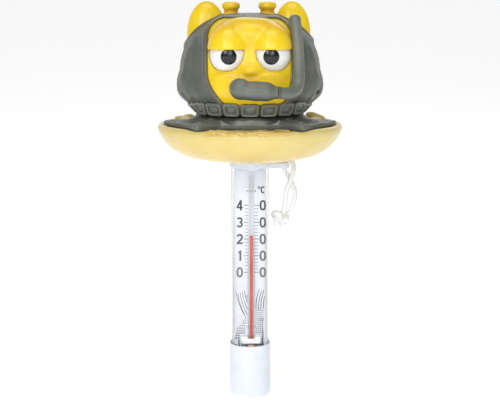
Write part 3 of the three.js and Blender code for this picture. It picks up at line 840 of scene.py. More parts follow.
def bead_d(x, y, zw):
    z = zw
    th = np.arctan2(x, -y)
    step = 2 * math.pi / BEAD_N
    k = np.round(th / step)
    arc = (th - k * step) * BEAD_R
    half = 4.0 + 0.22 * np.sin(2.4 * k + 0.7)
    w = np.clip((np.abs(th) - 0.75) / 0.65, 0, 1)
    w = w * w * (3 - 2 * w)
    rad = np.sqrt(x * x + y * y) - (BEAD_R - 3.2 * w)
    z = z - 1.1 * (1 - np.cos(th)) * (1 - w) + 0.35 + 0.85 * w
    tilt = BEAD_T + 0.42 * w
    ct, st = np.cos(tilt), np.sin(tilt)
    nd = rad * ct - (z - BEAD_Z) * st
    sv = rad * st + (z - BEAD_Z) * ct + 0.15 * np.sin(1.7 * k)
    d2 = rbox2_d(arc, sv, half, 3.3, 1.6) + 0.7
    w = np.abs(nd) - 2.0 + 0.7
    frame = np.minimum(np.maximum(d2, w), 0) + np.sqrt(np.maximum(d2, 0) ** 2 + np.maximum(w, 0) ** 2) - 0.7
    dip = np.maximum(rbox2_d(arc, sv, half - 1.35, 1.95, 1.0), 1.15 - nd)
    frame = smax(frame, -dip, 0.35)
    mid = np.maximum(rbox2_d(arc, sv, half - 2.25, 1.1, 0.6), np.abs(nd - 0.7) - 1.0)
    frame = smin(frame, mid + 0.1, 0.3)
    band = rbox2_d(nd + 0.9, sv, 1.9, 2.6, 0.8)
    d = smin(frame, band, 0.5)
    d = smax(d, -(hood_outer(x, y, zw) - 0.05), 0.2)
    return smax(d, 15.0 - zw, 0.3)


def periodic(table, t):
    """Smooth periodic reading of [degrees, value] rows."""
    a = np.radians([r[0] for r in table])
    v = np.array([r[1] for r in table], dtype=float)
    a = np.concatenate([a - 2 * np.pi, a, a + 2 * np.pi])
    v = np.tile(v, 3)
    tt = np.mod(t + np.pi, 2 * np.pi) - np.pi
    i = np.clip(np.searchsorted(a, tt) - 1, 1, len(a) - 3)
    u = (tt - a[i]) / (a[i + 1] - a[i])
    m0 = (v[i + 1] - v[i - 1]) / (a[i + 1] - a[i - 1]) * (a[i + 1] - a[i])
    m1 = (v[i + 2] - v[i]) / (a[i + 2] - a[i]) * (a[i + 1] - a[i])
    return (2 * u ** 3 - 3 * u ** 2 + 1) * v[i] + (u ** 3 - 2 * u ** 2 + u) * m0 + (-2 * u ** 3 + 3 * u ** 2) * v[i + 1] + (u ** 3 - u ** 2) * m1


def both_sides(half):
    """[degrees from the front, value] rows for one side, made into a table for periodic()."""
    rows = [(-90.0 + a, v) for a, v in half] + [(-90.0 - a, v) for a, v in half if 0 < a < 180]
    return sorted([((d + 180.0) % 360.0 - 180.0, v) for d, v in rows])


# two wings drawn out to the sides, a short front panel and a panel down the back
CAPE_OUTLINE = both_sides([(0, 33.0), (14, 32.7), (22, 32.6), (25.5, 33.8), (29.5, 38.6), (34.5, 43.4), (39, 42.6), (47, 41.2), (60, 40.5), (72, 41.0), (80, 41.8),
                           (85, 41.5), (89, 37.5), (93, 30.6), (98, 28.4), (112, 28.3), (130, 28.6), (140, 31.4), (150, 33.4), (165, 34.0), (180, 33.4)])
CAPE_EDGE = both_sides([(0, 10.9), (12, 10.75), (22, 10.9), (28, 11.2), (34.5, 12.0), (40, 11.6), (48, 11.2), (56, 11.6), (66, 11.1), (74, 11.3), (82, 11.0),
                        (89, 10.7), (98, 10.3), (130, 10.2), (150, 10.5), (165, 10.1), (180, 10.6)])
SHAWL = np.array([(23.0, -17.0), (20.0, -22.5), (14.5, -27.2), (10.2, -29.6), (7.6, -31.6), (6.6, -34.5)])


def shawl_side(x, y):
    """Distance in plan from the line where the wings lap over the front panel; + on the wing's side."""
    ax = np.abs(x)
    best, sign = np.full(x.shape, 1e9), np.ones(x.shape)
    for p, q in zip(SHAWL[:-1], SHAWL[1:]):
        d = q - p
        t = np.clip(((ax - p[0]) * d[0] + (y - p[1]) * d[1]) / d.dot(d), 0, 1)
        dx, dy = ax - p[0] - t * d[0], y - p[1] - t * d[1]
        m = np.sqrt(dx * dx + dy * dy)
        side = np.sign(d[0] * dy - d[1] * dx)
        nearer = m < best
        best, sign = np.where(nearer, m, best), np.where(nearer, side, sign)
    return best * sign


def cape_top(x, y, edge):
    """Height of the cloth over the deck, before its edge is rolled down."""
    r = np.sqrt(x * x + y * y)
    a = np.degrees(np.abs(np.arctan2(x, -y)))
    front = np.clip((95 - a) / 12, 0, 1)
    rest = 10.75 + 0.082 * np.clip(-y, 0, 18) * front
    z = rest + (15.1 - rest) * np.exp(-(r - 25.3) / (2.1 + 3.6 * np.exp(-(a / 19) ** 2)))
    out = np.clip((r - 26.5) / 5, 0, 1)
    bump = lambda c, w: np.exp(-(((a - c) * r / 57.3) / w) ** 2)
    # pleats that fan out over the wings and the back
    z = z + out * (0.95 * bump(35.0, 1.3) - 0.6 * bump(42.5, 2.2) + 0.4 * bump(54, 2.6) - 0.35 * bump(63, 2.2) + 0.3 * bump(74, 2.4) - 0.25 * bump(83, 1.6))
    z = z + out * (0.45 * bump(150, 2.4) - 0.3 * bump(162, 2.2) + 0.35 * bump(174, 2.0))
    # soft pleats of the front panel
    z = z + 0.22 * np.cos(x * 0.95) * np.exp(-(x / 6.0) ** 2) * np.clip((r - 27) / 3, 0, 1) * (y < 0)
    # the wings' inner edges lap over the front panel
    sd = shawl_side(x, y)
    s1 = np.clip((sd + 0.35) / 0.9, 0, 1)
    s1 = s1 * s1 * (3 - 2 * s1)
    lap = 0.95 * s1 * np.exp(-np.clip(sd, 0, None) / 4.5) * np.clip((r - 25.8) / 2.5, 0, 1) * (a < 60)
    crease = 0.4 * np.exp(-((sd + 0.75) / 0.55) ** 2) * np.clip((r - 26.5) / 2.0, 0, 1) * (a < 55)
    z = z + lap - crease
    z = z + 0.07 * np.sin(0.9 * x + 1.3 * np.sin(0.5 * y)) * out
    return np.minimum(z, 15.1), crease, sd


def make_cape():
    seg, rows = 760, []
    t = np.linspace(-np.pi, np.pi, seg, endpoint=False)
    R = periodic(CAPE_OUTLINE, t)
    edge_top = periodic(CAPE_EDGE, t)
    bottom = np.full(seg, 8.85)
    hollow, edge = [], []

    def ring(r, z, hol=0.0, edg=0.0):
        rows.append(np.stack([r * np.cos(t), r * np.sin(t), z], -1))
        hollow.append(np.broadcast_to(hol, (seg,)))
        edge.append(np.broadcast_to(edg, (seg,)))
    ring(np.full(seg, 20.5), bottom)
    # painted shade (hollow) over the underside
    for k in np.linspace(0.1, 1, 8):
        ring(20.5 + (R - 0.9 - 20.5) * k, bottom, 0.5)
    mid, half = (edge_top + bottom) / 2, (edge_top - bottom) / 2
    # the rolled hem: painted shade (hollow) on its lower half, painted highlight (edge) on its upper half
    for a in np.linspace(-84, 78, 15):
        c, s = math.cos(math.radians(a)), math.sin(math.radians(a))
        ring(R - 0.9 + 0.9 * c ** 0.55, mid + half * math.copysign(abs(s) ** 0.75, s), max(0.0, -s) * 0.55, max(0.0, s) * 0.55)
    for k in np.linspace(0.02, 1, 46) ** 1.15:
        r = (R - 1.0) + (25.55 - (R - 1.0)) * k
        x, y = r * np.cos(t), r * np.sin(t)
        z, crease, sd = cape_top(x, y, edge_top)
        near = np.clip(1 - (R - 0.9 - r) / 1.5, 0, 1)
        near = near * near * (3 - 2 * near)
        z = np.minimum(z * (1 - near) + edge_top * near, 15.1)
        # painted highlight (edge) on the lapped lips, near the hem and over the front panel; painted shade (hollow) in
        # the creases and up the neck under the beads
        lip = np.exp(-((sd - 0.45) / 0.5) ** 2) * (y < 0) * (np.abs(x) < 24)
        panel = np.exp(-(x / 7.5) ** 4) * (y < 0) * np.clip((r - 26.5) / 2.0, 0, 1)
        ring(r, z, np.clip(crease * 1.6, 0, 0.75) + np.clip((z - 13.3) / 1.5, 0, 0.85), np.clip(lip * 0.9 + near * 0.55 + panel * 1.0, 0, 1.0))
    # painted shade (hollow) round the neck
    ring(np.full(seg, 25.4), np.full(seg, 15.1), 0.6)
    ring(np.full(seg, 24.6), np.full(seg, 15.2), 0.6)
    ring(np.full(seg, 20.9), np.full(seg, 15.2), 0.6)
    ring(np.full(seg, 20.5), np.full(seg, 15.0), 0.6)
    v = np.vstack(rows)
    n = len(rows)
    f = grid_faces(n, seg)
    c = np.arange(seg)
    last = np.stack([(n - 1) * seg + c, (n - 1) * seg + (c + 1) % seg, (c + 1) % seg, c], -1)
    f = outward(v, np.concatenate([f, last]))
    return new_object("cape", v, f, attrs={"hollow": np.concatenate(hollow), "edge": np.concatenate(edge)})


RNG = np.random.RandomState(7)


def crease_field(px, py, seeds, sx=1.0, sy=1.0, width=0.9):
    """1 in the creases between cells, 0 on their backs."""
    out = np.empty(px.shape)
    flat_x, flat_y = px.ravel() * sx, py.ravel() * sy
    S = seeds * np.array([sx, sy])
    res = np.empty(flat_x.shape)
    for i in range(0, len(flat_x), 20000):
        d = np.sqrt((flat_x[i:i + 20000, None] - S[None, :, 0]) ** 2 + (flat_y[i:i + 20000, None] - S[None, :, 1]) ** 2)
        d.partition(1, axis=1)
        res[i:i + 20000] = d[:, 1] - d[:, 0]
    out = np.clip(1 - res / width, 0, 1).reshape(px.shape)
    return out


def make_dish():
    seg = 640
    t = np.linspace(-np.pi, np.pi, seg, endpoint=False)
    prof = rounded([(8.6, -8.0, 0), (8.75, -8.2, 0.1), (21, -7.95, 4), (28.0, -7.1, 4), (34.0, -5.35, 4), (39.0, -2.1, 4), (42.6, 2.0, 4),
                    (44.6, 5.6, 2.0), (44.95, 7.6, 1.2), (44.3, 8.9, 0.8), (43.0, 9.45, 0.7), (42.2, 8.7, 0.5), (41.9, 7.6, 0.4), (40.3, 3.2, 2), (36.4, -0.5, 3),
                    (31.2, -3.6, 3), (11.4, -5.9, 1), (11.4, -1.6, 0.4), (8.6, -1.6, 0.3), (8.6, -8.0, 0)], steps=6)
    p = np.array(prof[:-1])
    # finer rows by arc length
    s = np.concatenate([[0], np.cumsum(np.linalg.norm(np.diff(p, axis=0), axis=1))])
    u = np.unique(np.concatenate([np.arange(0, s[-1], 1.6), s, s[-1:], np.arange(s[np.argmax(p[:, 0])] - 2.5, s[np.argmax(p[:, 0])] + 5.5, 0.22)]))
    keep = np.concatenate([[True], np.diff(u) > 0.05])
    u = u[keep & (u <= s[-1])]
    r0, z0 = np.interp(u, s, p[:, 0]), np.interp(u, s, p[:, 1])
    R, T = np.meshgrid(r0, t, indexing="ij")
    Z = np.repeat(z0[:, None], seg, 1)
    # a hand-finished rim: slow waves, and sand creases over the front of it
    rim = np.exp(-((R - 44.0) / 1.4) ** 2) * np.clip((Z - 5.5) / 3, 0, 1)
    Z = Z + rim * (0.1 * np.sin(5 * T + 0.8) + 0.08 * np.sin(9 * T + 2.0))
    # it dips where the cape's front corners lie over it
    off = np.abs(np.abs(np.degrees(T) + 90) - 35.0)
    Z = Z - 0.75 * np.exp(-(off / 6.5) ** 2) * np.clip((Z - 7.0) / 2.0, 0, 1) * np.clip((R - 41.5) / 1.0, 0, 1)
    seeds = np.stack([RNG.uniform(-60, 60, 150), RNG.uniform(38, 48, 150)], -1)
    arc = T * 43.0
    front = np.clip((29 - np.abs(np.degrees(T) + 91)) / 4, 0, 1)
    seeds2 = np.stack([RNG.uniform(math.radians(-130) * 43, math.radians(-50) * 43, 54), RNG.uniform(7.0, 13.0, 54)], -1)
    # along the top band, w measures from the outer rim inwards
    w = (44.9 - R) + np.maximum(0, 9.4 - Z) * 0 + 8.0
    band = np.clip((Z - 7.0) / 0.8, 0, 1) * np.clip((R - 41.6) / 0.8, 0, 1)
    warp = arc + 1.1 * np.sin(w * 1.7) + 0.8 * np.sin(arc * 0.8)
    crease = crease_field(warp + 2.4 * w, w + 0.35 * np.sin(arc * 0.5), seeds2, 0.22, 1.3, 1.3) * band * front
    swell = (1 - crease) * band * front
    Z = Z - 0.45 * crease + 0.15 * swell
    R = R - 0.4 * crease + 0.15 * swell
    v = np.stack([R * np.cos(T), R * np.sin(T), Z], -1).reshape(-1, 3)
    n = len(u)
    f = grid_faces(n, seg)
    c = np.arange(seg)
    last = np.stack([(n - 1) * seg + c, (n - 1) * seg + (c + 1) % seg, (c + 1) % seg, c], -1)
    f = outward(v, np.concatenate([f, last]))
    # painted shade: the hollow value rises a little in the creases
    hollow = np.clip(0.36 + crease * 0.16, 0, 1) * band * front
    # a faint wash over the whole creased band
    hollow = np.maximum(hollow, 0.36 * band * front)
    return new_object("dish", v, f, attrs={"hollow": hollow.ravel(), "edge": np.zeros(len(v))})


def make_deck():
    seg, nr = 300, 70
    t = np.linspace(-np.pi, np.pi, seg, endpoint=False)
    r = np.linspace(0.001, 41.2, nr)
    R, T = np.meshgrid(r, t, indexing="ij")
    X, Y = R * np.cos(T), R * np.sin(T)
    seeds = RNG.uniform(-44, 44, (400, 2))
    wx = X + 1.6 * np.sin(Y * 0.33) + 0.7 * np.sin(Y * 0.9 + X * 0.3)
    wy = Y + 1.2 * np.sin(X * 0.41)
    crease = crease_field(wx, wy, seeds, 0.6, 1.5, 0.95)
    ripple = 0.5 + 0.5 * np.sin(wy * 1.5 + 0.9 * np.sin(wx * 0.45))
    out = np.clip((R - 19.5) / 3, 0, 1)
    cape_r = periodic(CAPE_OUTLINE, T)
    open_ = np.clip((R - cape_r + 0.8) / 1.6, 0, 1)
    fade = np.clip((41.2 - R) / 1.0, 0, 1)
    Z = 8.4 + (0.85 * ripple * open_ - 0.75 * crease * out + 0.18) * out * (0.25 + 0.75 * open_)
    Z = np.where(open_ < 0.05, np.minimum(Z, 8.6), Z)
    Z = 8.35 + (Z - 8.35) * np.clip(fade, 0.2, 1)
    rows = [np.stack([X, Y, Z], -1).reshape(-1, 3)]
    for rr, zz in ((41.45, 8.1), (41.5, 7.5), (40.9, 6.1), (40.5, 5.95)):
        rows.append(np.stack([rr * np.cos(t), rr * np.sin(t), np.full(seg, zz)], -1))
    for rr in (30.0, 18.0, 6.0, 0.001):
        rows.append(np.stack([rr * np.cos(t), rr * np.sin(t), np.full(seg, 5.9)], -1))
    v = np.vstack(rows)
    n = nr + 8
    f = outward_open(v, grid_faces(n, seg))
    # painted shade (hollow) in the creases of the sand
    hollow = np.concatenate([(crease * out).ravel(), np.zeros(seg * 8)])
    return new_object("deck", v, f, attrs={"hollow": hollow * 0.95, "edge": np.zeros(len(v))})


def curl_d(s, top):
    pts, _ = curve_points([(s * 29.7, 26.4, top - 1.5), (s * 31.2, 25.4, top - 1.35), (s * 34.0, 22.4, top - 1.9), (s * 36.4, 18.2, 9.7), (s * 37.7, 14.4, 9.0)], 26)
    rad = np.interp(np.linspace(0, 1, 26), [0, 0.15, 0.45, 0.8, 1.0], [1.45, 1.5, 1.35, 1.1, 0.6])

    def fn(x, y, z):
        best = None
        for i in range(len(pts) - 1):
            d = capsule_d(x, y, z, pts[i], pts[i + 1], rad[i], rad[i + 1])
            best = d if best is None else smin(best, d, 0.25)
        # a wave-like skirt down to the deck, and a lip that rolls over
        base = ellipsoid_d(x, y, z, (s * 33.4, 20.6, 8.6), (4.6, 6.4, 1.5))
        d = smin(best, base, 0.9)
        r = np.sqrt(x * x + y * y)
        d = smax(d, r - 41.4, 0.3)
        groove = np.sqrt((z - top + 0.4 + 0.16 * np.abs(x - s * 30)) ** 2 + (r - 37.3) ** 2) - 0.5
        d = smax(d, -groove, 0.4)
        return smax(d, 8.72 - z, 0.2)
    return fn


# ================================================================ figure: pieces
def shade_under(ob, lo, hi, most):
    """Raises the hollow value of faces that look down, which paints shade under the piece."""
    me = ob.data
    n = np.empty(len(me.vertices) * 3)
    me.vertex_normals.foreach_get("vector", n)
    down = np.clip((-n[2::3] - lo) / (hi - lo), 0, 1) * most
    a = me.attributes["hollow"].data
    h = np.empty(len(me.vertices))
    a.foreach_get("value", h)
    a.foreach_set("value", np.maximum(h, down))


def finish_piece(ob, mat, slot, *nodes, body=ROOT):
    ob.data.materials.clear()
    ob.data.materials.append(mat)
    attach(ob, body)
    if nodes:
        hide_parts(*nodes)
    return ob


VINYL, SKIN, EYE_M = make_vinyl(), make_skin(), make_eye()
# painted light: brighter copies of the grey vinyl, 16% for the snorkel, mouthpiece and collar beads and 4% for the cape
VINYL_BRIGHTENED = make_vinyl("grey_vinyl_painted_brighter", 1.16)
VINYL_CAPE = make_vinyl("grey_vinyl_cape", 1.04)
SAND = make_sand("sand_plastic", 0.02, (0.2, 0.25))
SAND_ROUGH = make_sand("sand_ripples", 0.16, (0.32, 0.46))

hood = sculpt("diver_hood", hood_shell, (-37.5, -36, 14.6), (37.5, 36, 64.5), 0.56)
finish_piece(hood, VINYL, "grey_vinyl", "hood")

head = sculpt("animal_head", head_d, (-33.6, -38.5, 8.2), (33.6, 33.6, 61.5), 0.56)
co = np.empty(len(head.data.vertices) * 3, dtype=np.float32)
head.data.vertices.foreach_get("co", co)
co = co.reshape(-1, 3) / MM
er = np.sqrt((np.abs(co[:, 0]) - EYE_X) ** 2 + (co[:, 1] - EYE_Y) ** 2 + (co[:, 2] - EYE_Z) ** 2)
# tint: painted shade along the top outline of each lid
tint = np.exp(-((np.hypot((np.abs(co[:, 0]) - EYE_X) / 10.1, (co[:, 2] - 45.4) / 12.4) - 1.0) / 0.13) ** 2) * np.clip((co[:, 2] - LID_Z + 1.2) / 0.8, 0, 1) * (co[:, 1] < -18)
a = head.data.attributes.new("tint", "FLOAT", "POINT")
a.data.foreach_set("value", tint.astype(np.float32))
finish_piece(head, SKIN, "yellow_vinyl", "head")

for s, side in ((-1, "left"), (1, "right")):
    def ear_fn(x, y, z, s=s):
        e = ear_d(s, x, y, z)
        # a shallow cup on the front of the lobe and a soft lean
        e = e + 0.25 * np.exp(-(capsule_d(x, y, z, (s * 21.5, -2.2, 60.0), (s * 22.0, -2.2, 51.0), 0.0) / 2.6) ** 2)
        e = smax(e, -(horn_d(s, x, y, z) - 0.35), 0.3)
        if s > 0:
            e = smax(e, -(snorkel_d(x, y, z, 0.2)), 0.2)
        return smax(e, 44.0 - z, 0.4)
    c, r = EARS[s]
    ear = sculpt("ear_" + side, ear_fn, (c[0] - 11, -3, 43), (c[0] + 11, 13, 69), 0.4)
    finish_piece(ear, SKIN, "yellow_vinyl", "ear_" + side)
    hp = [(1e-3, 55.0)] + [(q[0], q[1]) for q in horn_profile()] + [(1e-3, 67.55)]
    hp = rounded(hp, 0.8, 5)
    horn = turned("horn_" + side, hp, 64, centre=(HORNS[s], HORN_Y))
    hv = np.array([vv.co[:] for vv in horn.data.vertices]) / MM
    # painted shade (hollow) in the groove under the cap and towards the base
    hollow = np.exp(-((hv[:, 2] - 63.2) / 0.8) ** 2) * 0.75 + np.clip((60.5 - hv[:, 2]) / 3, 0, 0.8)
    at = horn.data.attributes.new("hollow", "FLOAT", "POINT")
    at.data.foreach_set("value", hollow.astype(np.float32))
    at = horn.data.attributes.new("tint", "FLOAT", "POINT")
    at.data.foreach_set("value", np.full(len(hv), 0.45, dtype=np.float32))
    finish_piece(horn, SKIN, "yellow_vinyl", "horn_" + side)

    def eye_fn(x, y, z, s=s):
        return np.sqrt((x - s * EYE_X) ** 2 + (y - EYE_Y) ** 2 + (z - EYE_Z) ** 2) - EYE_R
    eye = sculpt("eye_" + side, eye_fn, (s * EYE_X - 9.6, EYE_Y - 9.6, EYE_Z - 9.6), (s * EYE_X + 9.6, EYE_Y + 9.6, EYE_Z + 9.6), 0.42)
    ev = np.array([vv.co[:] for vv in eye.data.vertices]) / MM
    # hollow here is painted shade, from how close the head lies over the eye
    shade = np.clip(1 - (head_d(ev[:, 0], ev[:, 1] - 0.2, ev[:, 2])) / 1.5, 0, 1)
    eye.data.attributes["hollow"].data.foreach_set("value", shade.astype(np.float32))
    finish_piece(eye, EYE_M, "eye_white", "eye_" + side)

# snorkel: a round tube with a domed top, and its mouthpiece
sp, sl = curve_points([(20.9, -23.9, 61.9)] + SNORKEL, 90)
top_r = np.interp(np.linspace(0, sl, 90), [0, 0.15, 0.5, 1.0, 1.7, 2.8, sl - 2, sl], [0.25, 1.1, 1.85, 2.35, 2.65, 2.75, 2.75, 2.7])
v, f, u, t = sweep(sp, top_r, 40)
snorkel = new_object("snorkel", v, f)
# painted shade (hollow) in a band near the mouthpiece end, and painted highlight (edge) along one side of the tube
hol = np.exp(-((t - 0.985) / 0.02) ** 2) * 0.7
at = snorkel.data.attributes.new("hollow", "FLOAT", "POINT"); at.data.foreach_set("value", hol.astype(np.float32))
at = snorkel.data.attributes.new("edge", "FLOAT", "POINT"); at.data.foreach_set("value", (0.35 * np.clip(np.cos(u - 1.2), 0, 1)).astype(np.float32))
finish_piece(snorkel, VINYL_BRIGHTENED, "grey_vinyl", "snorkel_tube")
mouth = sculpt("mouthpiece", lambda x, y, z: smax(mouth_d(x, y, z), -(snorkel_d(x, y, z, 0.05)), 0.2), (-10, -46, 22), (13.6, -34, 34), 0.3)
# painted shade under the mouthpiece
shade_under(mouth, 0.15, 0.85, 0.9)
finish_piece(mouth, VINYL_BRIGHTENED, "grey_vinyl", "snorkel_mouthpiece")

beads = sculpt("bead_collar_frames", bead_d, (-34, -34, 14.6), (34, 34, 23.2), 0.36, hollow=(0.6, 1.4))
finish_piece(beads, VINYL_BRIGHTENED, "grey_vinyl", "bead_collar")

cape = make_cape()
finish_piece(cape, VINYL_CAPE, "grey_vinyl", "diver_cape")
dish = make_dish()
finish_piece(dish, SAND, "sand_plastic", "float_dish")
deck = make_deck()
finish_piece(deck, SAND_ROUGH, "sand_texture", "sand_deck")
for s, side, top in ((-1, "left", 11.0), (1, "right", 12.1)):
    curl = sculpt("sand_curl_wave_" + side, curl_d(s, top), (min(s * 25, s * 40), 12, 8), (max(s * 25, s * 40), 28.5, 13.6), 0.26, hollow=(0.5, 1.5))
    finish_piece(curl, SAND_ROUGH, "sand_texture", "sand_curl_" + side)


# ================================================================ stem: materials
def make_glass(name, tint, ior, shadow, rough=0.02, edge=0.0, sheen=(1.0, 1.0, 1.0)):
    """Clear plastic or glass; lamps reach what is behind it."""
    m = bpy.data.materials.new(name)
    m.use_nodes = True
    nt = m.node_tree
    nt.nodes.clear()
    out = nt.nodes.new("ShaderNodeOutputMaterial")
    p = nt.nodes.new("ShaderNodeBsdfPrincipled")
    p.inputs["Transmission Weight"].default_value = 1.0
    p.inputs["Roughness"].default_value = rough
    p.inputs["IOR"].default_value = ior
    p.inputs["Specular Tint"].default_value = (*sheen, 1)
    clear = nt.nodes.new("ShaderNodeBsdfTransparent")
    clear.inputs[0].default_value = (*shadow, 1)
    path = nt.nodes.new("ShaderNodeLightPath")
    mix = nt.nodes.new("ShaderNodeMixShader")
    nt.links.new(path.outputs["Is Shadow Ray"], mix.inputs[0])
    nt.links.new(p.outputs[0], mix.inputs[1])
    nt.links.new(clear.outputs[0], mix.inputs[2])
    nt.links.new(mix.outputs[0], out.inputs[0])
    # faint flow lines of the moulding tint it a little unevenly
    tc = nt.nodes.new("ShaderNodeTexCoord")
    sc = nt.nodes.new("ShaderNodeVectorMath")
    sc.operation = "MULTIPLY"
    sc.inputs[1].default_value = (260, 260, 40)
    nt.links.new(tc.outputs["Object"], sc.inputs[0])
    no = nt.nodes.new("ShaderNodeTexNoise")
    no.inputs["Scale"].default_value = 1.0
    nt.links.new(sc.outputs[0], no.inputs["Vector"])
    rp = nt.nodes.new("ShaderNodeValToRGB")
    rp.color_ramp.elements[0].position = 0.3
    rp.color_ramp.elements[1].position = 0.7
    rp.color_ramp.elements[0].color = (*[c * 0.985 for c in tint], 1)
    rp.color_ramp.elements[1].color = (*tint, 1)
    nt.links.new(no.outputs["Fac"], rp.inputs[0])
    lw = nt.nodes.new("ShaderNodeLayerWeight")
    lw.inputs[0].default_value = 0.5
    gr = nt.nodes.new("ShaderNodeMapRange")
    gr.inputs[1].default_value, gr.inputs[2].default_value = 0.42, 0.82
    gr.inputs[3].default_value, gr.inputs[4].default_value = 0.0, edge
    nt.links.new(lw.outputs["Facing"], gr.inputs[0])
    mx = nt.nodes.new("ShaderNodeMix")
    mx.data_type = "RGBA"
    nt.links.new(gr.outputs[0], mx.inputs[0])
    nt.links.new(rp.outputs[0], mx.inputs[6])
    mx.inputs[7].default_value = (0.54, 0.57, 0.54, 1)
    nt.links.new(mx.outputs[2], p.inputs["Base Color"])
    return m


def make_card():
    m = Mat("printed_card")
    base = m.mix(m.remap(m.noise(0.05, 2), 0.3, 0.7, 0, 1), srgb(215, 217, 227), srgb(221, 222, 232))
    m.colour(base)
    m.rough(m.remap(m.noise(1.5, 3), 0.3, 0.7, 0.5, 0.62))
    m.bump(m.noise(5, 3), 0.06, 0.01)
    return m.m


def make_ink(name, top, low, spread=0.03):
    m = Mat(name)
    z = m.remap(m.axis(2), -30.0, -66.0, 0, 1)
    c = m.mix(z, top, low)
    m.colour(m.mix(m.remap(m.noise(2.0, 2), 0.35, 0.65, 0, spread), c, (1, 1, 1)))
    m.rough(m.remap(m.noise(3.0, 2), 0.3, 0.7, 0.4, 0.55))
    return m.m


def make_spirit(name, c0, c1, rough=0.12):
    m = Mat(name)
    m.colour(m.mix(m.remap(m.noise(0.16, 2, vector=m.stretch((1, 1, 0.25))), 0.35, 0.65, 0, 1), c0, c1))
    m.rough(m.remap(m.noise(0.8, 2), 0.3, 0.7, rough, rough + 0.08))
    m.set(IOR=1.36)
    return m.m


def make_cord_mat():
    m = Mat("white_cord")
    fibre = m.noise(1.6, 4)
    base = m.mix(m.remap(fibre, 0.3, 0.7, 0, 1), srgb(243, 246, 250), srgb(252, 253, 255))
    # painted shade in the grooves between the strands
    col = m.mix(m.remap(m.attr("hollow"), 0.2, 0.9, 0, 1), base, srgb(212, 214, 214))
    # painted shade: greyer where the cord is seen edge on
    lw = m.nt.nodes.new("ShaderNodeLayerWeight")
    lw.inputs[0].default_value = 0.5
    col = m.mix(m.remap(lw.outputs["Facing"], 0.45, 0.95, 0, 0.85), col, srgb(196, 198, 190))
    m.colour(col)
    m.rough(m.remap(m.noise(2.0, 3), 0.3, 0.7, 0.5, 0.68))
    m.bump(m.noise(6.0, 4), 0.35, 0.05)
    m.set(Sheen_Weight=0.15)
    return m.m


WHITE = make_white("white_plastic", srgb(231, 236, 249), srgb(237, 241, 252))
# painted shade: the collar's white is a darker, bluer copy, offsetting the yellow light the dish throws on it
WHITE_COLLAR = make_white("white_collar", srgb(224, 233, 250), srgb(231, 239, 254))
SADDLE_M = make_white("white_saddle", srgb(242, 243, 248), srgb(248, 248, 252), 0.35, 0.5)
CLEAR = make_glass("clear_plastic", (0.985, 0.99, 0.985), 1.08, (0.93, 0.94, 0.94), edge=0.95, sheen=(0.66, 0.68, 0.64))
GLASS = make_glass("capillary_glass", (0.99, 0.99, 0.985), 1.08, (0.93, 0.94, 0.93), edge=0.1)
TIE_M = make_glass("tie_plastic", (0.9, 0.91, 0.9), 1.12, (0.88, 0.88, 0.88), 0.25)
CARD_M = make_card()
INK = make_ink("scale_ink", srgb(34, 36, 44), srgb(98, 100, 106))
TICK_INK = make_ink("tick_ink", srgb(104, 106, 112), srgb(120, 122, 128))
PATTERN_INK = make_ink("pattern_ink", srgb(84, 86, 94), srgb(36, 37, 42))
RED = make_spirit("red_spirit", srgb(214, 82, 72), srgb(226, 106, 94))
BULB_RED = make_spirit("bulb_red", srgb(218, 178, 174), srgb(226, 190, 186))
CORD_M = make_cord_mat()
RUBBER = make_white("seal_rubber", srgb(60, 60, 62), srgb(74, 74, 76), 0.6, 0.75)
FOAM = make_white("foam", srgb(226, 226, 220), srgb(238, 238, 232), 0.8, 0.95)
STEEL = make_white("ballast_steel", srgb(150, 152, 156), srgb(172, 174, 178), 0.28, 0.42)
for n in STEEL.node_tree.nodes:
    if n.type == "BSDF_PRINCIPLED":
        n.inputs["Metallic"].default_value = 1.0


# ================================================================ cord
CORD_D = 2.4
BIGHT = [(17.0, 0, -13.9), (17.0, 0, -13.0), (17.0, 0, -11.7), (17.25, 0, -10.5), (18.1, 0, -9.8), (19.3, -0.1, -9.65), (20.5, -0.3, -10.2),
         (21.2, -0.6, -11.3), (21.35, -0.9, -12.4), (21.4, -1.0, -12.95)]
LEG_A = [(17.0, 0, -13.35), (17.02, 0.03, -13.9), (17.4, 0.55, -15.2), (18.4, 1.15, -16.8), (19.7, 1.45, -18.8), (21.0, 1.4, -21.8), (22.0, 1.0, -24.6), (22.1, 0.7, -27.5),
         (21.6, 0.5, -30.2), (20.6, 0.3, -33.0), (19.3, 0.2, -35.4), (17.8, 0.1, -37.0)]
LEG_B = [(21.4, -0.99, -12.8), (21.38, -1.12, -13.4), (21.15, -1.3, -14.8), (20.6, -1.4, -16.8), (19.7, -1.45, -19.2), (18.6, -1.4, -21.8), (17.8, -1.2, -24.6), (17.5, -1.0, -27.5),
         (17.3, -0.9, -30.2), (17.1, -0.8, -32.6), (16.3, -0.6, -35.4), (15.2, -0.3, -37.0)]
INTO_A = [(16.0, 0.1, -38.4), (14.4, 0.3, -39.6), (13.2, 0.3, -39.4)]
INTO_B = [(14.4, -0.2, -38.2), (13.6, -0.2, -39.2), (13.8, -0.2, -40.2), (14.9, -0.2, -40.7)]


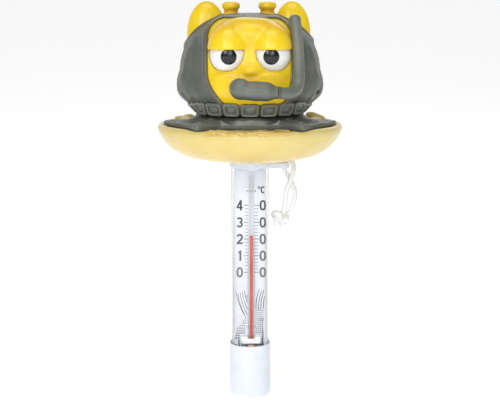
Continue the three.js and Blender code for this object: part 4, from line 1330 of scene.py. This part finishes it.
def braid(path, turns_per_mm=0.30, radius=CORD_D / 2, sides=40, step=0.2, ends=0.0, phase=0.0):
    """A round braided cord: two families of strands crossing over each other."""
    P, length = curve_points(path, max(8, int(sum(math.dist(a, b) for a, b in zip(path[:-1], path[1:])) / step)))
    s = np.linspace(0, length, len(P))

    def section(a, i):
        k = turns_per_mm * 2 * math.pi * (s[i] + phase)
        p, q = 4 * a + 4 * k * 0.5, 4 * a - 4 * k * 0.5
        weave = np.sin(p) * np.sin(q)
        ridge = np.where(weave > 0, np.abs(np.cos(p)), np.abs(np.cos(q)))
        return 1.0 - 0.075 * (1 - ridge) ** 1.5
    rad = np.full(len(P), radius)
    if ends:
        rad = radius * np.minimum(1, np.sqrt(np.clip(1 - ((s - (length - ends)) / ends).clip(0, 0.98) ** 2, 0.02, 1)))
    v, f, a, t = sweep(P, rad, sides, section=section)
    # hollow: painted shade in the grooves between strands
    hol = np.concatenate([(1 - section(np.linspace(0, 2 * math.pi, sides, endpoint=False), i)) / 0.075 for i in range(len(P))])
    return v, f, hol, length, P


def braid_object(name, *strands):
    verts, faces, hol, base = [], [], [], 0
    for v, f, h, _, _ in strands:
        verts.append(v)
        faces += [tuple(int(i) + base for i in q) for q in f]
        hol.append(h)
        base += len(v)
    ob = new_object(name, np.vstack(verts), faces)
    at = ob.data.attributes.new("hollow", "FLOAT", "POINT")
    at.data.foreach_set("value", np.concatenate(hol).astype(np.float32))
    return ob


leg_a, leg_b, bight_s = braid(LEG_A + INTO_A), braid(LEG_B + INTO_B), braid(BIGHT, radius=CORD_D / 2 * 0.99)
tt = np.linspace(0, 2 * math.pi, 73)[:-1]
S, AMP = 1.12, 1.6
KC = np.array([14.6, -0.2, -37.7])
ku, kw = np.array([math.cos(0.25), 0, math.sin(-0.25)]), np.array([math.sin(0.25), 0, math.cos(0.25)])
knot_line = [KC + S * (math.sin(t) + 2 * math.sin(2 * t)) * ku + S * 0.9 * (math.cos(t) - 2 * math.cos(2 * t)) * kw + np.array([0, -AMP, 0]) * math.sin(3 * t) for t in tt]
knot_line = [tuple(p) for p in knot_line] + [tuple(knot_line[0]), tuple(knot_line[1])]
knot_s = braid(knot_line, radius=1.5)
tail_s = braid([(14.2, -1.0, -37.6), (15.4, -1.8, -38.8), (16.6, -1.9, -40.2), (17.4, -1.7, -41.4)], radius=1.25, ends=0.5)
knot = braid_object("cord_overhand_knot", knot_s, tail_s)
bight = braid_object("cord_bight_braid", bight_s)
cord_a = braid_object("cord_leg_a_braid", leg_a)
cord_b = braid_object("cord_leg_b_braid", leg_b)
for ob, node in ((knot, "cord_knot"), (bight, "cord_bight"), (cord_a, "cord_leg_a"), (cord_b, "cord_leg_b")):
    finish_piece(ob, CORD_M, "white_cord", node)
tuple(c * MM for c in LEG_A[0])
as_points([tuple(p * MM) for p in leg_a[4][::4]] + [tuple(leg_a[4][-1] * MM)])
tuple(c * MM for c in LEG_B[0])
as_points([tuple(p * MM) for p in leg_b[4][::4]] + [tuple(leg_b[4][-1] * MM)])


# ================================================================ stem: pieces
TUBE_R, TUBE_IN = 9.25, 8.05
COLLAR_R = 10.05
CAP_X, CAP_Y = 0.6, -2.0


def box3_d(x, y, z, lo, hi, r):
    qx = np.abs(x - (lo[0] + hi[0]) / 2) - (hi[0] - lo[0]) / 2 + r
    qy = np.abs(y - (lo[1] + hi[1]) / 2) - (hi[1] - lo[1]) / 2 + r
    qz = np.abs(z - (lo[2] + hi[2]) / 2) - (hi[2] - lo[2]) / 2 + r
    return (np.sqrt(np.maximum(qx, 0) ** 2 + np.maximum(qy, 0) ** 2 + np.maximum(qz, 0) ** 2)
            + np.minimum(np.maximum(qx, np.maximum(qy, qz)), 0) - r)


def cyl_d(rad, z, r, lo, hi, e=0.0):
    q1, q2 = rad - r + e, np.abs(z - (lo + hi) / 2) - (hi - lo) / 2 + e
    return np.minimum(np.maximum(q1, q2), 0) + np.sqrt(np.maximum(q1, 0) ** 2 + np.maximum(q2, 0) ** 2) - e


def collar_fn(x, y, z):
    rad = np.sqrt(x * x + y * y)
    plug = cyl_d(rad, z, 8.3, -9.5, -2.2, 0.4)
    flange = cyl_d(rad, z, COLLAR_R, -12.4, -8.5, 0.45)
    spigot = cyl_d(rad, z, 7.75, -13.6, -9.0, 0.3)
    groove = np.maximum(np.maximum(rad - (TUBE_R + 0.3), 7.75 - rad), z + 9.7)
    flange = smax(flange, -groove, 0.15)
    # tab: a flat tongue with a round end
    tx = np.maximum(x - 16.8, 0) + np.minimum(x - 9.9, 0)
    tongue = np.maximum(np.sqrt(tx ** 2 + y ** 2) - 2.6, 0)
    q1, q2 = np.sqrt(tx ** 2 + y ** 2) - 2.6 + 0.4, np.abs(z + 11.48) - 1.48 + 0.4
    tab = np.minimum(np.maximum(q1, q2), 0) + np.sqrt(np.maximum(q1, 0) ** 2 + np.maximum(q2, 0) ** 2) - 0.4
    tab = np.maximum(tab, 9.75 - rad)
    d = smin(smin(plug, flange, 0.2), spigot, 0.1)
    d = smin(d, tab, 0.6)
    eye = np.sqrt((x - 17.0) ** 2 + y * y) - 1.62
    d = smax(d, -eye, 0.25)
    notch = box3_d(x, y, z, (15.4, -1.6, -11.25), (23, 1.6, -7), 0.3)
    d = smax(d, -notch, 0.3)
    # the parting line of the moulding
    return d + 0.05 * np.exp(-(y / 0.12) ** 2) * (rad > 9.6) * (x < 9)


collar = sculpt("collar_moulding", collar_fn, (-10.6, -10.6, -14.1), (19.9, 10.6, -1.7), 0.27, hollow=(0.4, 1.0))
finish_piece(collar, WHITE_COLLAR, "white_plastic", "stem_collar")

tube_p = rounded([(TUBE_IN, -104.8), (TUBE_R, -104.8, 0.15), (TUBE_R, -10.3, 0.15), (TUBE_IN, -10.3, 0.15), (TUBE_IN, -104.8)], steps=5)
tube_p = [tube_p[0]] + tube_p[1:-1]
tube_o = turned("clear_outer_tube", [(r, z) for r, z in tube_p] + [tube_p[0]], 160)
finish_piece(tube_o, CLEAR, "clear_plastic", "clear_tube")

seal = turned("seal_gasket", rounded([(8.15, -9.94), (9.15, -9.94, 0.08), (9.15, -9.76, 0.08), (8.15, -9.76, 0.08), (8.15, -9.94)], steps=4), 120)
finish_piece(seal, RUBBER, "seal_rubber", "seal_ring")


def card_fn(x, y, z):
    d = box3_d(x, y, z, (-7.65, 0, -104.0), (7.65, 0.5, -14.2), 0.12)
    for tz in (-23.9, -92.0):
        for s in (-1, 1):
            d = np.maximum(d, -box3_d(x, y, z, (CAP_X + s * 2.35 - 0.75, -1, tz - 0.85), (CAP_X + s * 2.35 + 0.75, 2, tz + 0.85), 0.2))
    return np.maximum(d, -box3_d(x, y, z, (CAP_X - 2.95, -1, -106), (CAP_X + 2.95, 2, -100.2), 0.3))


def slab_mesh(name, outline, holes, y0, y1, bevel=0.08):
    """A flat plate in XZ from y0 (front) to y1 (back) with its front edges softened."""
    cu = bpy.data.curves.new(name, "CURVE")
    cu.dimensions = "2D"
    cu.fill_mode = "BOTH"
    for loop in [outline] + holes:
        sp = cu.splines.new("POLY")
        sp.points.add(len(loop) - 1)
        for p, q in zip(sp.points, loop):
            p.co = (q[0] * MM, q[1] * MM, 0, 1)
        sp.use_cyclic_u = True
    cu.extrude = ((y1 - y0) / 2 - bevel) * MM
    cu.bevel_depth = bevel * MM
    cu.bevel_resolution = 2
    cu.offset = -bevel * MM
    tmp = bpy.data.objects.new(name + "_tmp", cu)
    scene.collection.objects.link(tmp)
    bpy.context.view_layer.update()
    me = bpy.data.meshes.new_from_object(tmp.evaluated_get(bpy.context.evaluated_depsgraph_get()))
    bpy.data.objects.remove(tmp)
    bpy.data.curves.remove(cu)
    n = len(me.vertices)
    co = np.empty(n * 3, dtype=np.float32)
    me.vertices.foreach_get("co", co)
    co = co.reshape(-1, 3)
    # the plate is drawn in x, y and stood up so that its face looks to -Y
    out = np.stack([co[:, 0], (y0 + y1) / 2 * MM - co[:, 2], co[:, 1]], -1)
    me.vertices.foreach_set("co", out.ravel())
    me.update()
    import bmesh
    bm = bmesh.new()
    bm.from_mesh(me)
    bmesh.ops.remove_doubles(bm, verts=bm.verts, dist=1e-7)
    bmesh.ops.recalc_face_normals(bm, faces=bm.faces)
    bm.to_mesh(me)
    bm.free()
    ob = bpy.data.objects.new(name, me)
    scene.collection.objects.link(ob)
    return ob


def round_rect(x0, x1, z0, z1, r, n=6):
    pts = []
    for cx, cz, a0 in ((x1 - r, z1 - r, 0), (x0 + r, z1 - r, 90), (x0 + r, z0 + r, 180), (x1 - r, z0 + r, 270)):
        for k in range(n + 1):
            a = math.radians(a0 + 90 * k / n)
            pts.append((cx + r * math.cos(a), cz + r * math.sin(a)))
    return pts


card_line = round_rect(-7.65, 7.65, -104.0, -14.2, 0.7)
notch_i = [(CAP_X + 2.95, -104.0), (CAP_X + 2.95, -100.8), (CAP_X + 2.3, -100.2), (CAP_X - 2.3, -100.2), (CAP_X - 2.95, -100.8), (CAP_X - 2.95, -104.0)]
corner = [i for i, p in enumerate(card_line) if p[1] <= -103.99 and p[0] < 0]
k_left = max(i for i, p in enumerate(card_line) if p[0] < 0 and abs(p[1] + 104.0) < 0.01)
card_line = card_line[:k_left + 1] + notch_i[::-1] + card_line[k_left + 1:]
card_holes = [round_rect(CAP_X + s * 2.2 - 0.42, CAP_X + s * 2.2 + 0.42, tz - 0.52, tz + 0.52, 0.2, 4) for tz in (-23.9, -92.0) for s in (-1, 1)]
card = slab_mesh("scale_card_blank", card_line, card_holes, 0.0, 0.5)
finish_piece(card, CARD_M, "printed_card", "scale_card")

# the print: thin raised ink on the card's face
INK_Y0, INK_Y1 = -0.045, 0.03


class Ink:
    def __init__(self):
        self.v, self.f = [], []

    def prism(self, loop, lift=0.0):
        base, n = len(self.v), len(loop)
        area = sum(loop[i][0] * loop[(i + 1) % n][1] - loop[(i + 1) % n][0] * loop[i][1] for i in range(n))
        if area < 0:
            loop = loop[::-1]
        self.v += [(x, INK_Y0 - lift, z) for x, z in loop] + [(x, INK_Y1, z) for x, z in loop]
        self.f.append(tuple(range(base, base + n)))
        self.f.append(tuple(range(base + 2 * n - 1, base + n - 1, -1)))
        for i in range(n):
            j = (i + 1) % n
            self.f.append((base + i, base + n + i, base + n + j, base + j))

    def strip(self, pts, w0, w1=None, closed=False, lift=0.0):
        """A ribbon of quads along pts, each end square, width w0 to w1."""
        P = np.array(pts, dtype=float)
        w1 = w0 if w1 is None else w1
        if closed:
            T = np.roll(P, -1, 0) - np.roll(P, 1, 0)
        else:
            T = np.gradient(P, axis=0)
        T /= np.linalg.norm(T, axis=1)[:, None]
        N = np.stack([-T[:, 1], T[:, 0]], -1)
        w = np.linspace(w0, w1, len(P))[:, None] / 2
        L, R = P + N * w, P - N * w
        n, base = len(P), len(self.v)
        for X in (L, R):
            self.v += [(x, INK_Y0 - lift, z) for x, z in X]
        for X in (L, R):
            self.v += [(x, INK_Y1, z) for x, z in X]
        m = n if closed else n - 1
        for i in range(m):
            j = (i + 1) % n
            a, b, c, d = base + i, base + j, base + n + j, base + n + i
            e, f, g, h = a + 2 * n, b + 2 * n, c + 2 * n, d + 2 * n
            self.f += [(d, c, b, a), (e, f, g, h), (a, b, f, e), (c, d, h, g)]
        if not closed:
            a, d = base, base + n
            self.f.append((a, a + 2 * n, d + 2 * n, d))
            b, c = base + n - 1, base + 2 * n - 1
            self.f.append((c, c + 2 * n, b + 2 * n, b))

    def dot(self, x, z, r, n=10, sx=1.0):
        self.prism([(x + sx * r * math.cos(2 * math.pi * k / n), z + r * math.sin(2 * math.pi * k / n)) for k in range(n)])

    def object(self, name, mat):
        import bmesh
        ob = new_object(name, np.array(self.v), self.f, smooth=False)
        bm = bmesh.new()
        bm.from_mesh(ob.data)
        bmesh.ops.recalc_face_normals(bm, faces=bm.faces)
        bm.to_mesh(ob.data)
        bm.free()
        ob.data.materials.append(mat)
        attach(ob, ROOT)
        return ob


def arc_pts(cx, cz, rx, rz, a0, a1, n=22, power=2.0):
    out = []
    for k in range(n + 1):
        a = math.radians(a0 + (a1 - a0) * k / n)
        c, s = math.cos(a), math.sin(a)
        out.append((cx + rx * math.copysign(abs(c) ** (2 / power), c), cz + rz * math.copysign(abs(s) ** (2 / power), s)))
    return out


def digit(ink, ch, cx, cz, h=5.2, w=3.15, pen=0.92):
    H, W = (h - pen) / 2, (w - pen) / 2
    move = lambda pts: [(cx + x, cz + z) for x, z in pts]
    if ch == "0":
        ink.strip(move(arc_pts(0, 0, W, H, 0, 352, 44, 2.5)), pen, closed=True)
    elif ch == "1":
        ink.strip(move([(0.28, H + pen / 2), (0.28, 0), (0.28, -H - pen / 2)]), pen * 1.05)
        ink.strip(move([(0.36, H + 0.05), (-0.15, H - 0.35), (-0.72, H - 0.72)]), pen * 0.82, lift=0.006)
    elif ch == "2":
        pts = arc_pts(0, H - W * 1.02, W, W * 1.02, 172, -28, 22) + [(0.35, -0.55), (-0.45, -1.35), (-W * 0.98, -H + 0.1)]
        P, _ = curve_points([(x, 0, z) for x, z in pts], 46)
        ink.strip(move([(p[0], p[2]) for p in P]), pen)
        ink.strip(move([(-W - pen / 2 + 0.02, -H), (0, -H), (W + pen / 2 - 0.1, -H)]), pen * 0.92, lift=0.006)
    elif ch == "3":
        ru = H * 0.49
        ink.strip(move(arc_pts(-0.06, H - ru, W * 0.94, ru, 158, -92, 26)), pen)
        ink.strip(move(arc_pts(-0.06, -H + ru * 1.04, W * 1.02, ru * 1.04, 92, -160, 28)), pen, lift=0.006)
    elif ch == "4":
        ink.strip(move([(0.52, H + 0.22), (-0.35, 0.55), (-W - 0.12, -1.02)]), pen * 0.88)
        ink.strip(move([(-W - 0.36, -1.1), (0, -1.1), (W + 0.34, -1.1)]), pen * 0.86, lift=0.006)
        ink.strip(move([(0.55, H + pen / 2), (0.55, 0), (0.55, -H - pen / 2)]), pen, lift=0.012)
    elif ch == "C":
        ink.strip(move(arc_pts(0, 0, W, H, 42, 318, 34, 2.2)), pen)
    elif ch == "o":
        ink.strip(move(arc_pts(0, 0, W, H, 0, 345, 24, 2.0)), pen, closed=True)


MAJOR = {40: -31.53, 30: -40.04, 20: -48.34, 10: -56.72, 0: -65.09}
ink = Ink()
for deg, z in MAJOR.items():
    digit(ink, str(deg // 10), -5.05, z)
    digit(ink, "0", 6.3, z)
digit(ink, "C", 6.3, -23.8, 3.5, 2.2, 0.66)
digit(ink, "o", 4.45, -22.75, 1.35, 1.25, 0.36)
digits = ink.object("scale_digits", INK)

ticks = Ink()
zs = sorted(MAJOR.items(), reverse=True)
for i, (deg, z) in enumerate(zs):
    ticks.prism([(-3.1, z - 0.2), (-1.0, z - 0.2), (-1.0, z + 0.2), (-3.1, z + 0.2)])
    ticks.prism([(2.2, z - 0.2), (4.45, z - 0.2), (4.45, z + 0.2), (2.2, z + 0.2)])
    if i + 1 < len(zs):
        nz = zs[i + 1][1]
        for k in range(1, 5):
            zz = z + (nz - z) * k / 5
            ticks.prism([(-2.5, zz - 0.14), (-1.0, zz - 0.14), (-1.0, zz + 0.14), (-2.5, zz + 0.14)])
            ticks.prism([(2.2, zz - 0.14), (4.0, zz - 0.14), (4.0, zz + 0.14), (2.2, zz + 0.14)])
ticks_o = ticks.object("scale_ticks", TICK_INK)

# plain printed ornament at the foot of the card: fine waves that break up into dots
pat = Ink()


def pat_ok(x, z, m=0.0):
    """Inside the card, beside the stem and clear of the block at its foot."""
    return abs(x) < 7.15 - m and abs(x - CAP_X) > 1.95 + m and not (abs(x - CAP_X) < 5.15 + m and z < -96.7 + m and z > -101.0)


def pat_line(pts, w0, w1):
    run = []
    for q in pts + [None]:
        if q is not None and pat_ok(*q):
            run.append(q)
            continue
        if len(run) > 3:
            pat.strip(run, w0, w1)
        run = []


for k in range(6):
    # left: a bundle of lines that swings across to the stem
    pts = []
    for j in range(34):
        u = j / 33
        pts.append((-6.9 + 1.05 * k + 3.6 * u ** 1.5, -74.4 - 0.6 * ((3 * k) % 4) - 11.5 * u))
    pat_line(pts, 0.2, 0.32)
for k in range(5):
    # right: arcs that bend over and hang down
    pts = []
    for j in range(34):
        u = j / 33
        pts.append((2.95 + 1.2 * k + 1.6 * (1 - u) ** 2.2, -73.6 - 0.4 * ((2 * k) % 3) - 10.0 * u))
    pat_line(pts, 0.3, 0.4)
for row in range(6):
    z = -84.4 - 0.98 * row
    pts = [(CAP_X + 2.0 + 5.0 * j / 12, z + 0.1 * math.sin(0.8 * j + row)) for j in range(13)]
    pat_line(pts, 0.2, 0.26)
for row in range(13):
    u = row / 12
    z = -87.2 - 1.26 * row
    for k in range(4):
        x = -6.4 + 1.3 * k + 0.45 * math.sin(0.45 * row + 0.6 * k)
        r = 0.2 + 0.34 * u
        if u > 0.13 * (3 - k) and pat_ok(x, z, 0.35):
            pat.dot(x, z, r, 12)
for row in range(16):
    u = row / 15
    z = -86.6 - 1.03 * row
    for k in range(5):
        x = CAP_X + 2.45 + 1.05 * k + 0.12 * math.sin(0.9 * row)
        r = 0.2 + 0.2 * u + 0.035 * k
        if u > 0.2 - 0.04 * k and pat_ok(x, z, 0.3):
            pat.dot(x, z, r, 12)
pattern = pat.object("scale_ornament", PATTERN_INK)
for ob in (digits, ticks_o, pattern):
    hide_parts("scale_card")

glass_p = [(1e-3, -14.9), (0.7, -15.0), (1.25, -15.4), (1.52, -16.0), (1.6, -16.8), (1.6, -99.9), (1.68, -100.15), (2.05, -100.55), (2.4, -100.95), (2.5, -101.5), (2.5, -109.6),
           (2.3, -110.9), (1.75, -111.9), (1.1, -112.4), (0.35, -112.5), (0.35, -112.1), (1.0, -111.8), (1.6, -110.9), (2.0, -109.9), (2.0, -101.9), (1.75, -101.3),
           (1.1, -100.8), (1.0, -100.4), (1.0, -17.4), (0.75, -16.8), (1e-3, -16.6)]
cap_glass = turned("capillary_tube", glass_p, 72, centre=(CAP_X, CAP_Y))
finish_piece(cap_glass, GLASS, "capillary_glass", "capillary_glass")

foot, top = -101.4, -46.3
rows = 220
zz = np.concatenate([[foot], np.linspace(foot + 0.02, top - 0.35, rows), top - 0.35 + 0.35 * np.sin(np.linspace(0.15, 1, 8) * math.pi / 2)])
rr = np.concatenate([[0.6], np.full(rows, 0.72), 0.72 * np.cos(np.linspace(0.15, 0.97, 8) * math.pi / 2)])
column = turned("red_column", [(r, z) for r, z in zip(rr, zz)], 40, centre=(CAP_X, CAP_Y))
column.data.materials.append(RED)
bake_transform(column)
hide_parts("spirit_column")

bulb_p = [(1e-3, -101.8), (0.86, -101.75), (0.9, -100.95), (1.1, -100.95), (1.6, -101.35), (1.9, -101.95), (1.9, -109.2), (1.4, -110.1), (0.8, -110.8), (1e-3, -111.0)]
bulb = turned("bulb_fill", bulb_p, 56, centre=(CAP_X, CAP_Y))
finish_piece(bulb, BULB_RED, "red_spirit", "bulb_spirit")


def saddle_fn(x, y, z):
    px = x - (CAP_X - 0.05)
    d2 = np.maximum(np.abs(px / 4.9) ** 8 + np.abs(np.minimum(y + 0.35, 0) / 4.1) ** 8, 1e-9) ** (1 / 8) - 1.0
    d2 = d2 * 4.0
    d2 = smax(d2, y + 0.35, 0.3)
    q2 = np.abs(z + 98.85) - 1.8
    d = smax(d2, q2, 0.4)
    bore = np.sqrt((x - CAP_X) ** 2 + (y - CAP_Y) ** 2) - 1.72
    d = smax(d, -bore, 0.15)
    # a notch for the bottom of the scale
    d = smax(d, -np.maximum(np.abs(x - CAP_X) - 1.75, -98.1 - z), 0.15)
    # two thumb flats and a rib on its face
    return d - 0.12 * np.exp(-((z + 98.85) / 0.4) ** 2) * (np.abs(px) > 2.2)


saddle = sculpt("capillary_saddle", saddle_fn, (-5.2, -5.2, -102), (6.4, 0.4, -96.4), 0.18, hollow=(0.4, 0.9))
finish_piece(saddle, SADDLE_M, "white_plastic", "bulb_saddle")

for name, node, z in (("tie_strap_upper", "capillary_tie_upper", -23.9), ("tie_strap_lower", "capillary_tie_lower", -92.0)):
    loop = [(CAP_X + 2.2, 1.1, z)]
    loop = [(CAP_X + 2.2 * math.cos(a), CAP_Y - 2.2 * math.sin(a), z) for a in np.linspace(0, math.pi, 22)]
    loop = [(CAP_X + 2.2, -0.6, z)] + loop + [(CAP_X - 2.2, -0.6, z), (CAP_X - 2.2, 0.7, z), (CAP_X - 1.95, 1.06, z), (CAP_X - 1.3, 1.1, z), (CAP_X + 1.3, 1.1, z), (CAP_X + 1.95, 1.06, z), (CAP_X + 2.2, 0.7, z), (CAP_X + 2.2, -0.6, z)]
    P, _ = curve_points(loop, 90)
    P = P[:-1]
    rows_ = []
    for k in range(len(P)):
        t = P[(k + 1) % len(P)] - P[k - 1]
        t /= np.linalg.norm(t)
        n = np.cross(t, (0, 0, 1.0))
        ring = [P[k] + n * (0.24 * math.copysign(abs(math.cos(a)) ** 0.5, math.cos(a))) + np.array([0, 0, 0.35 * math.copysign(abs(math.sin(a)) ** 0.5, math.sin(a))]) for a in np.linspace(0, 2 * math.pi, 12, endpoint=False)]
        rows_.append(ring)
    V = np.array(rows_).reshape(-1, 3)
    n_r, n_c = len(P), 12
    F = grid_faces(n_r, n_c)
    c = np.arange(n_c)
    F = np.concatenate([F, np.stack([(n_r - 1) * n_c + c, (n_r - 1) * n_c + (c + 1) % n_c, (c + 1) % n_c, c], -1)])
    tie = new_object(name, V, outward(V, F))
    finish_piece(tie, TIE_M, "tie_plastic", node)

cap_p = rounded([(1e-3, -127.6), (8.4, -127.6, 0.3), (8.75, -127.8, 0.2), (9.0, -127.8, 0.5), (9.95, -127.5, 0.9), (10.2, -126.0, 1.0), (10.2, -100.95, 0.3), (9.62, -100.9, 0.12),
                 (9.58, -105.1, 0.2), (8.25, -105.1, 0.2), (8.25, -125.6, 0.4), (1e-3, -125.6)], steps=6)
dense = []
for a, b in zip(cap_p[:-1], cap_p[1:]):
    m = max(1, int(math.dist(a, b) / 1.0))
    dense += [(a[0] + (b[0] - a[0]) * k / m, a[1] + (b[1] - a[1]) * k / m) for k in range(m)]
dense.append(cap_p[-1])


def cap_shape(v):
    v = v.copy()
    r = np.hypot(v[:, 0], v[:, 1])
    a = np.arctan2(v[:, 1], v[:, 0])
    # shallow sink marks of the moulding, a hair of ovality
    k = np.where(r > 9.0, 1 - 0.0022 * np.exp(-((v[:, 2] + 105.4) / 0.8) ** 2) + 0.0008 * np.cos(2 * a), 1.0)
    v[:, 0] *= k
    v[:, 1] *= k
    return v


cap_o = turned("bottom_cap_cup", dense, 160, shape=cap_shape)
finish_piece(cap_o, WHITE, "white_plastic", "bottom_cap")
for node, mat, slot in (("foam_pad", FOAM, "foam"), ("ballast_slug", STEEL, "ballast_steel")):
    ob = NODES[node]
    ob.data.materials.clear()
    ob.data.materials.append(mat)


# ================================================================ studio
def stage_floor():
    base = CAD_BOX[0][2] - 0.0002
    prof = [(-2.2, base), (1.1, base)]
    R = 1.2
    for k in range(1, 25):
        a = math.pi / 2 * k / 24
        prof.append((1.1 + R * math.sin(a), base + R - R * math.cos(a)))
    prof.append((1.1 + R, base + 3.4))
    verts, faces = [], []
    for y, z in prof:
        verts += [(-3.5 / MM, y / MM, z / MM), (3.5 / MM, y / MM, z / MM)]
    for i in range(len(prof) - 1):
        faces.append((2 * i, 2 * i + 1, 2 * i + 3, 2 * i + 2))
    ob = new_object("studio_floor", verts, faces)
    m, nt, p = node_tree("studio_paper")
    p.inputs["Base Color"].default_value = (0.92, 0.92, 0.92, 1)
    p.inputs["Roughness"].default_value = 0.9
    p.inputs["Emission Color"].default_value = (1, 1, 1, 1)
    p.inputs["Emission Strength"].default_value = 0.55
    ob.data.materials.append(m)
    return ob


def area(name, loc, target, size, power, colour=(1, 1, 1), size_y=None):
    l = bpy.data.lights.new(name, "AREA")
    l.energy = power
    l.color = colour
    l.shape = "RECTANGLE"
    l.size = size
    l.size_y = size_y or size
    ob = bpy.data.objects.new(name, l)
    ob.location = loc
    ob.rotation_euler = (Vector(target) - Vector(loc)).to_track_quat("-Z", "Y").to_euler()
    scene.collection.objects.link(ob)
    return ob


floor = stage_floor()
area("key", (-0.4, -1.0, 0.5), (0, 0, 0.0), 0.32, 4.05, size_y=0.6)
area("fill", (0.2, -1.1, 0.4), (0, 0, 0.0), 0.3, 1.65, size_y=0.6)
area("front", (0.06, -1.25, 0.24), (0, 0, 0.02), 0.5, 1.4, size_y=0.5)
area("top", (0.0, -0.3, 1.0), (0, 0, 0.0), 0.8, 3.9, size_y=0.5)
area("back", (0.2, 1.0, 0.7), (0, 0, 0.02), 0.7, 0.8)
world = bpy.data.worlds.new("studio_world")
scene.world = world
world.use_nodes = True
bg = world.node_tree.nodes["Background"]
bg.inputs[0].default_value = (1, 1, 1, 1)
bg.inputs[1].default_value = 0.15
seen = world.node_tree.nodes.new("ShaderNodeLightPath")
either = world.node_tree.nodes.new("ShaderNodeMath")
either.operation = "MAXIMUM"
world.node_tree.links.new(seen.outputs["Is Camera Ray"], either.inputs[0])
world.node_tree.links.new(seen.outputs["Is Transmission Ray"], either.inputs[1])
direct = world.node_tree.nodes.new("ShaderNodeMath")
direct.operation = "LESS_THAN"
direct.inputs[1].default_value = 0.5
world.node_tree.links.new(seen.outputs["Diffuse Depth"], direct.inputs[0])
both = world.node_tree.nodes.new("ShaderNodeMath")
both.operation = "MULTIPLY"
world.node_tree.links.new(either.outputs[0], both.inputs[0])
world.node_tree.links.new(direct.outputs[0], both.inputs[1])
level = world.node_tree.nodes.new("ShaderNodeMapRange")
level.inputs[3].default_value, level.inputs[4].default_value = 0.15, 0.93
world.node_tree.links.new(both.outputs[0], level.inputs[0])
world.node_tree.links.new(level.outputs[0], bg.inputs[1])
scene.view_settings.view_transform = "Standard"
scene.view_settings.look = "None"
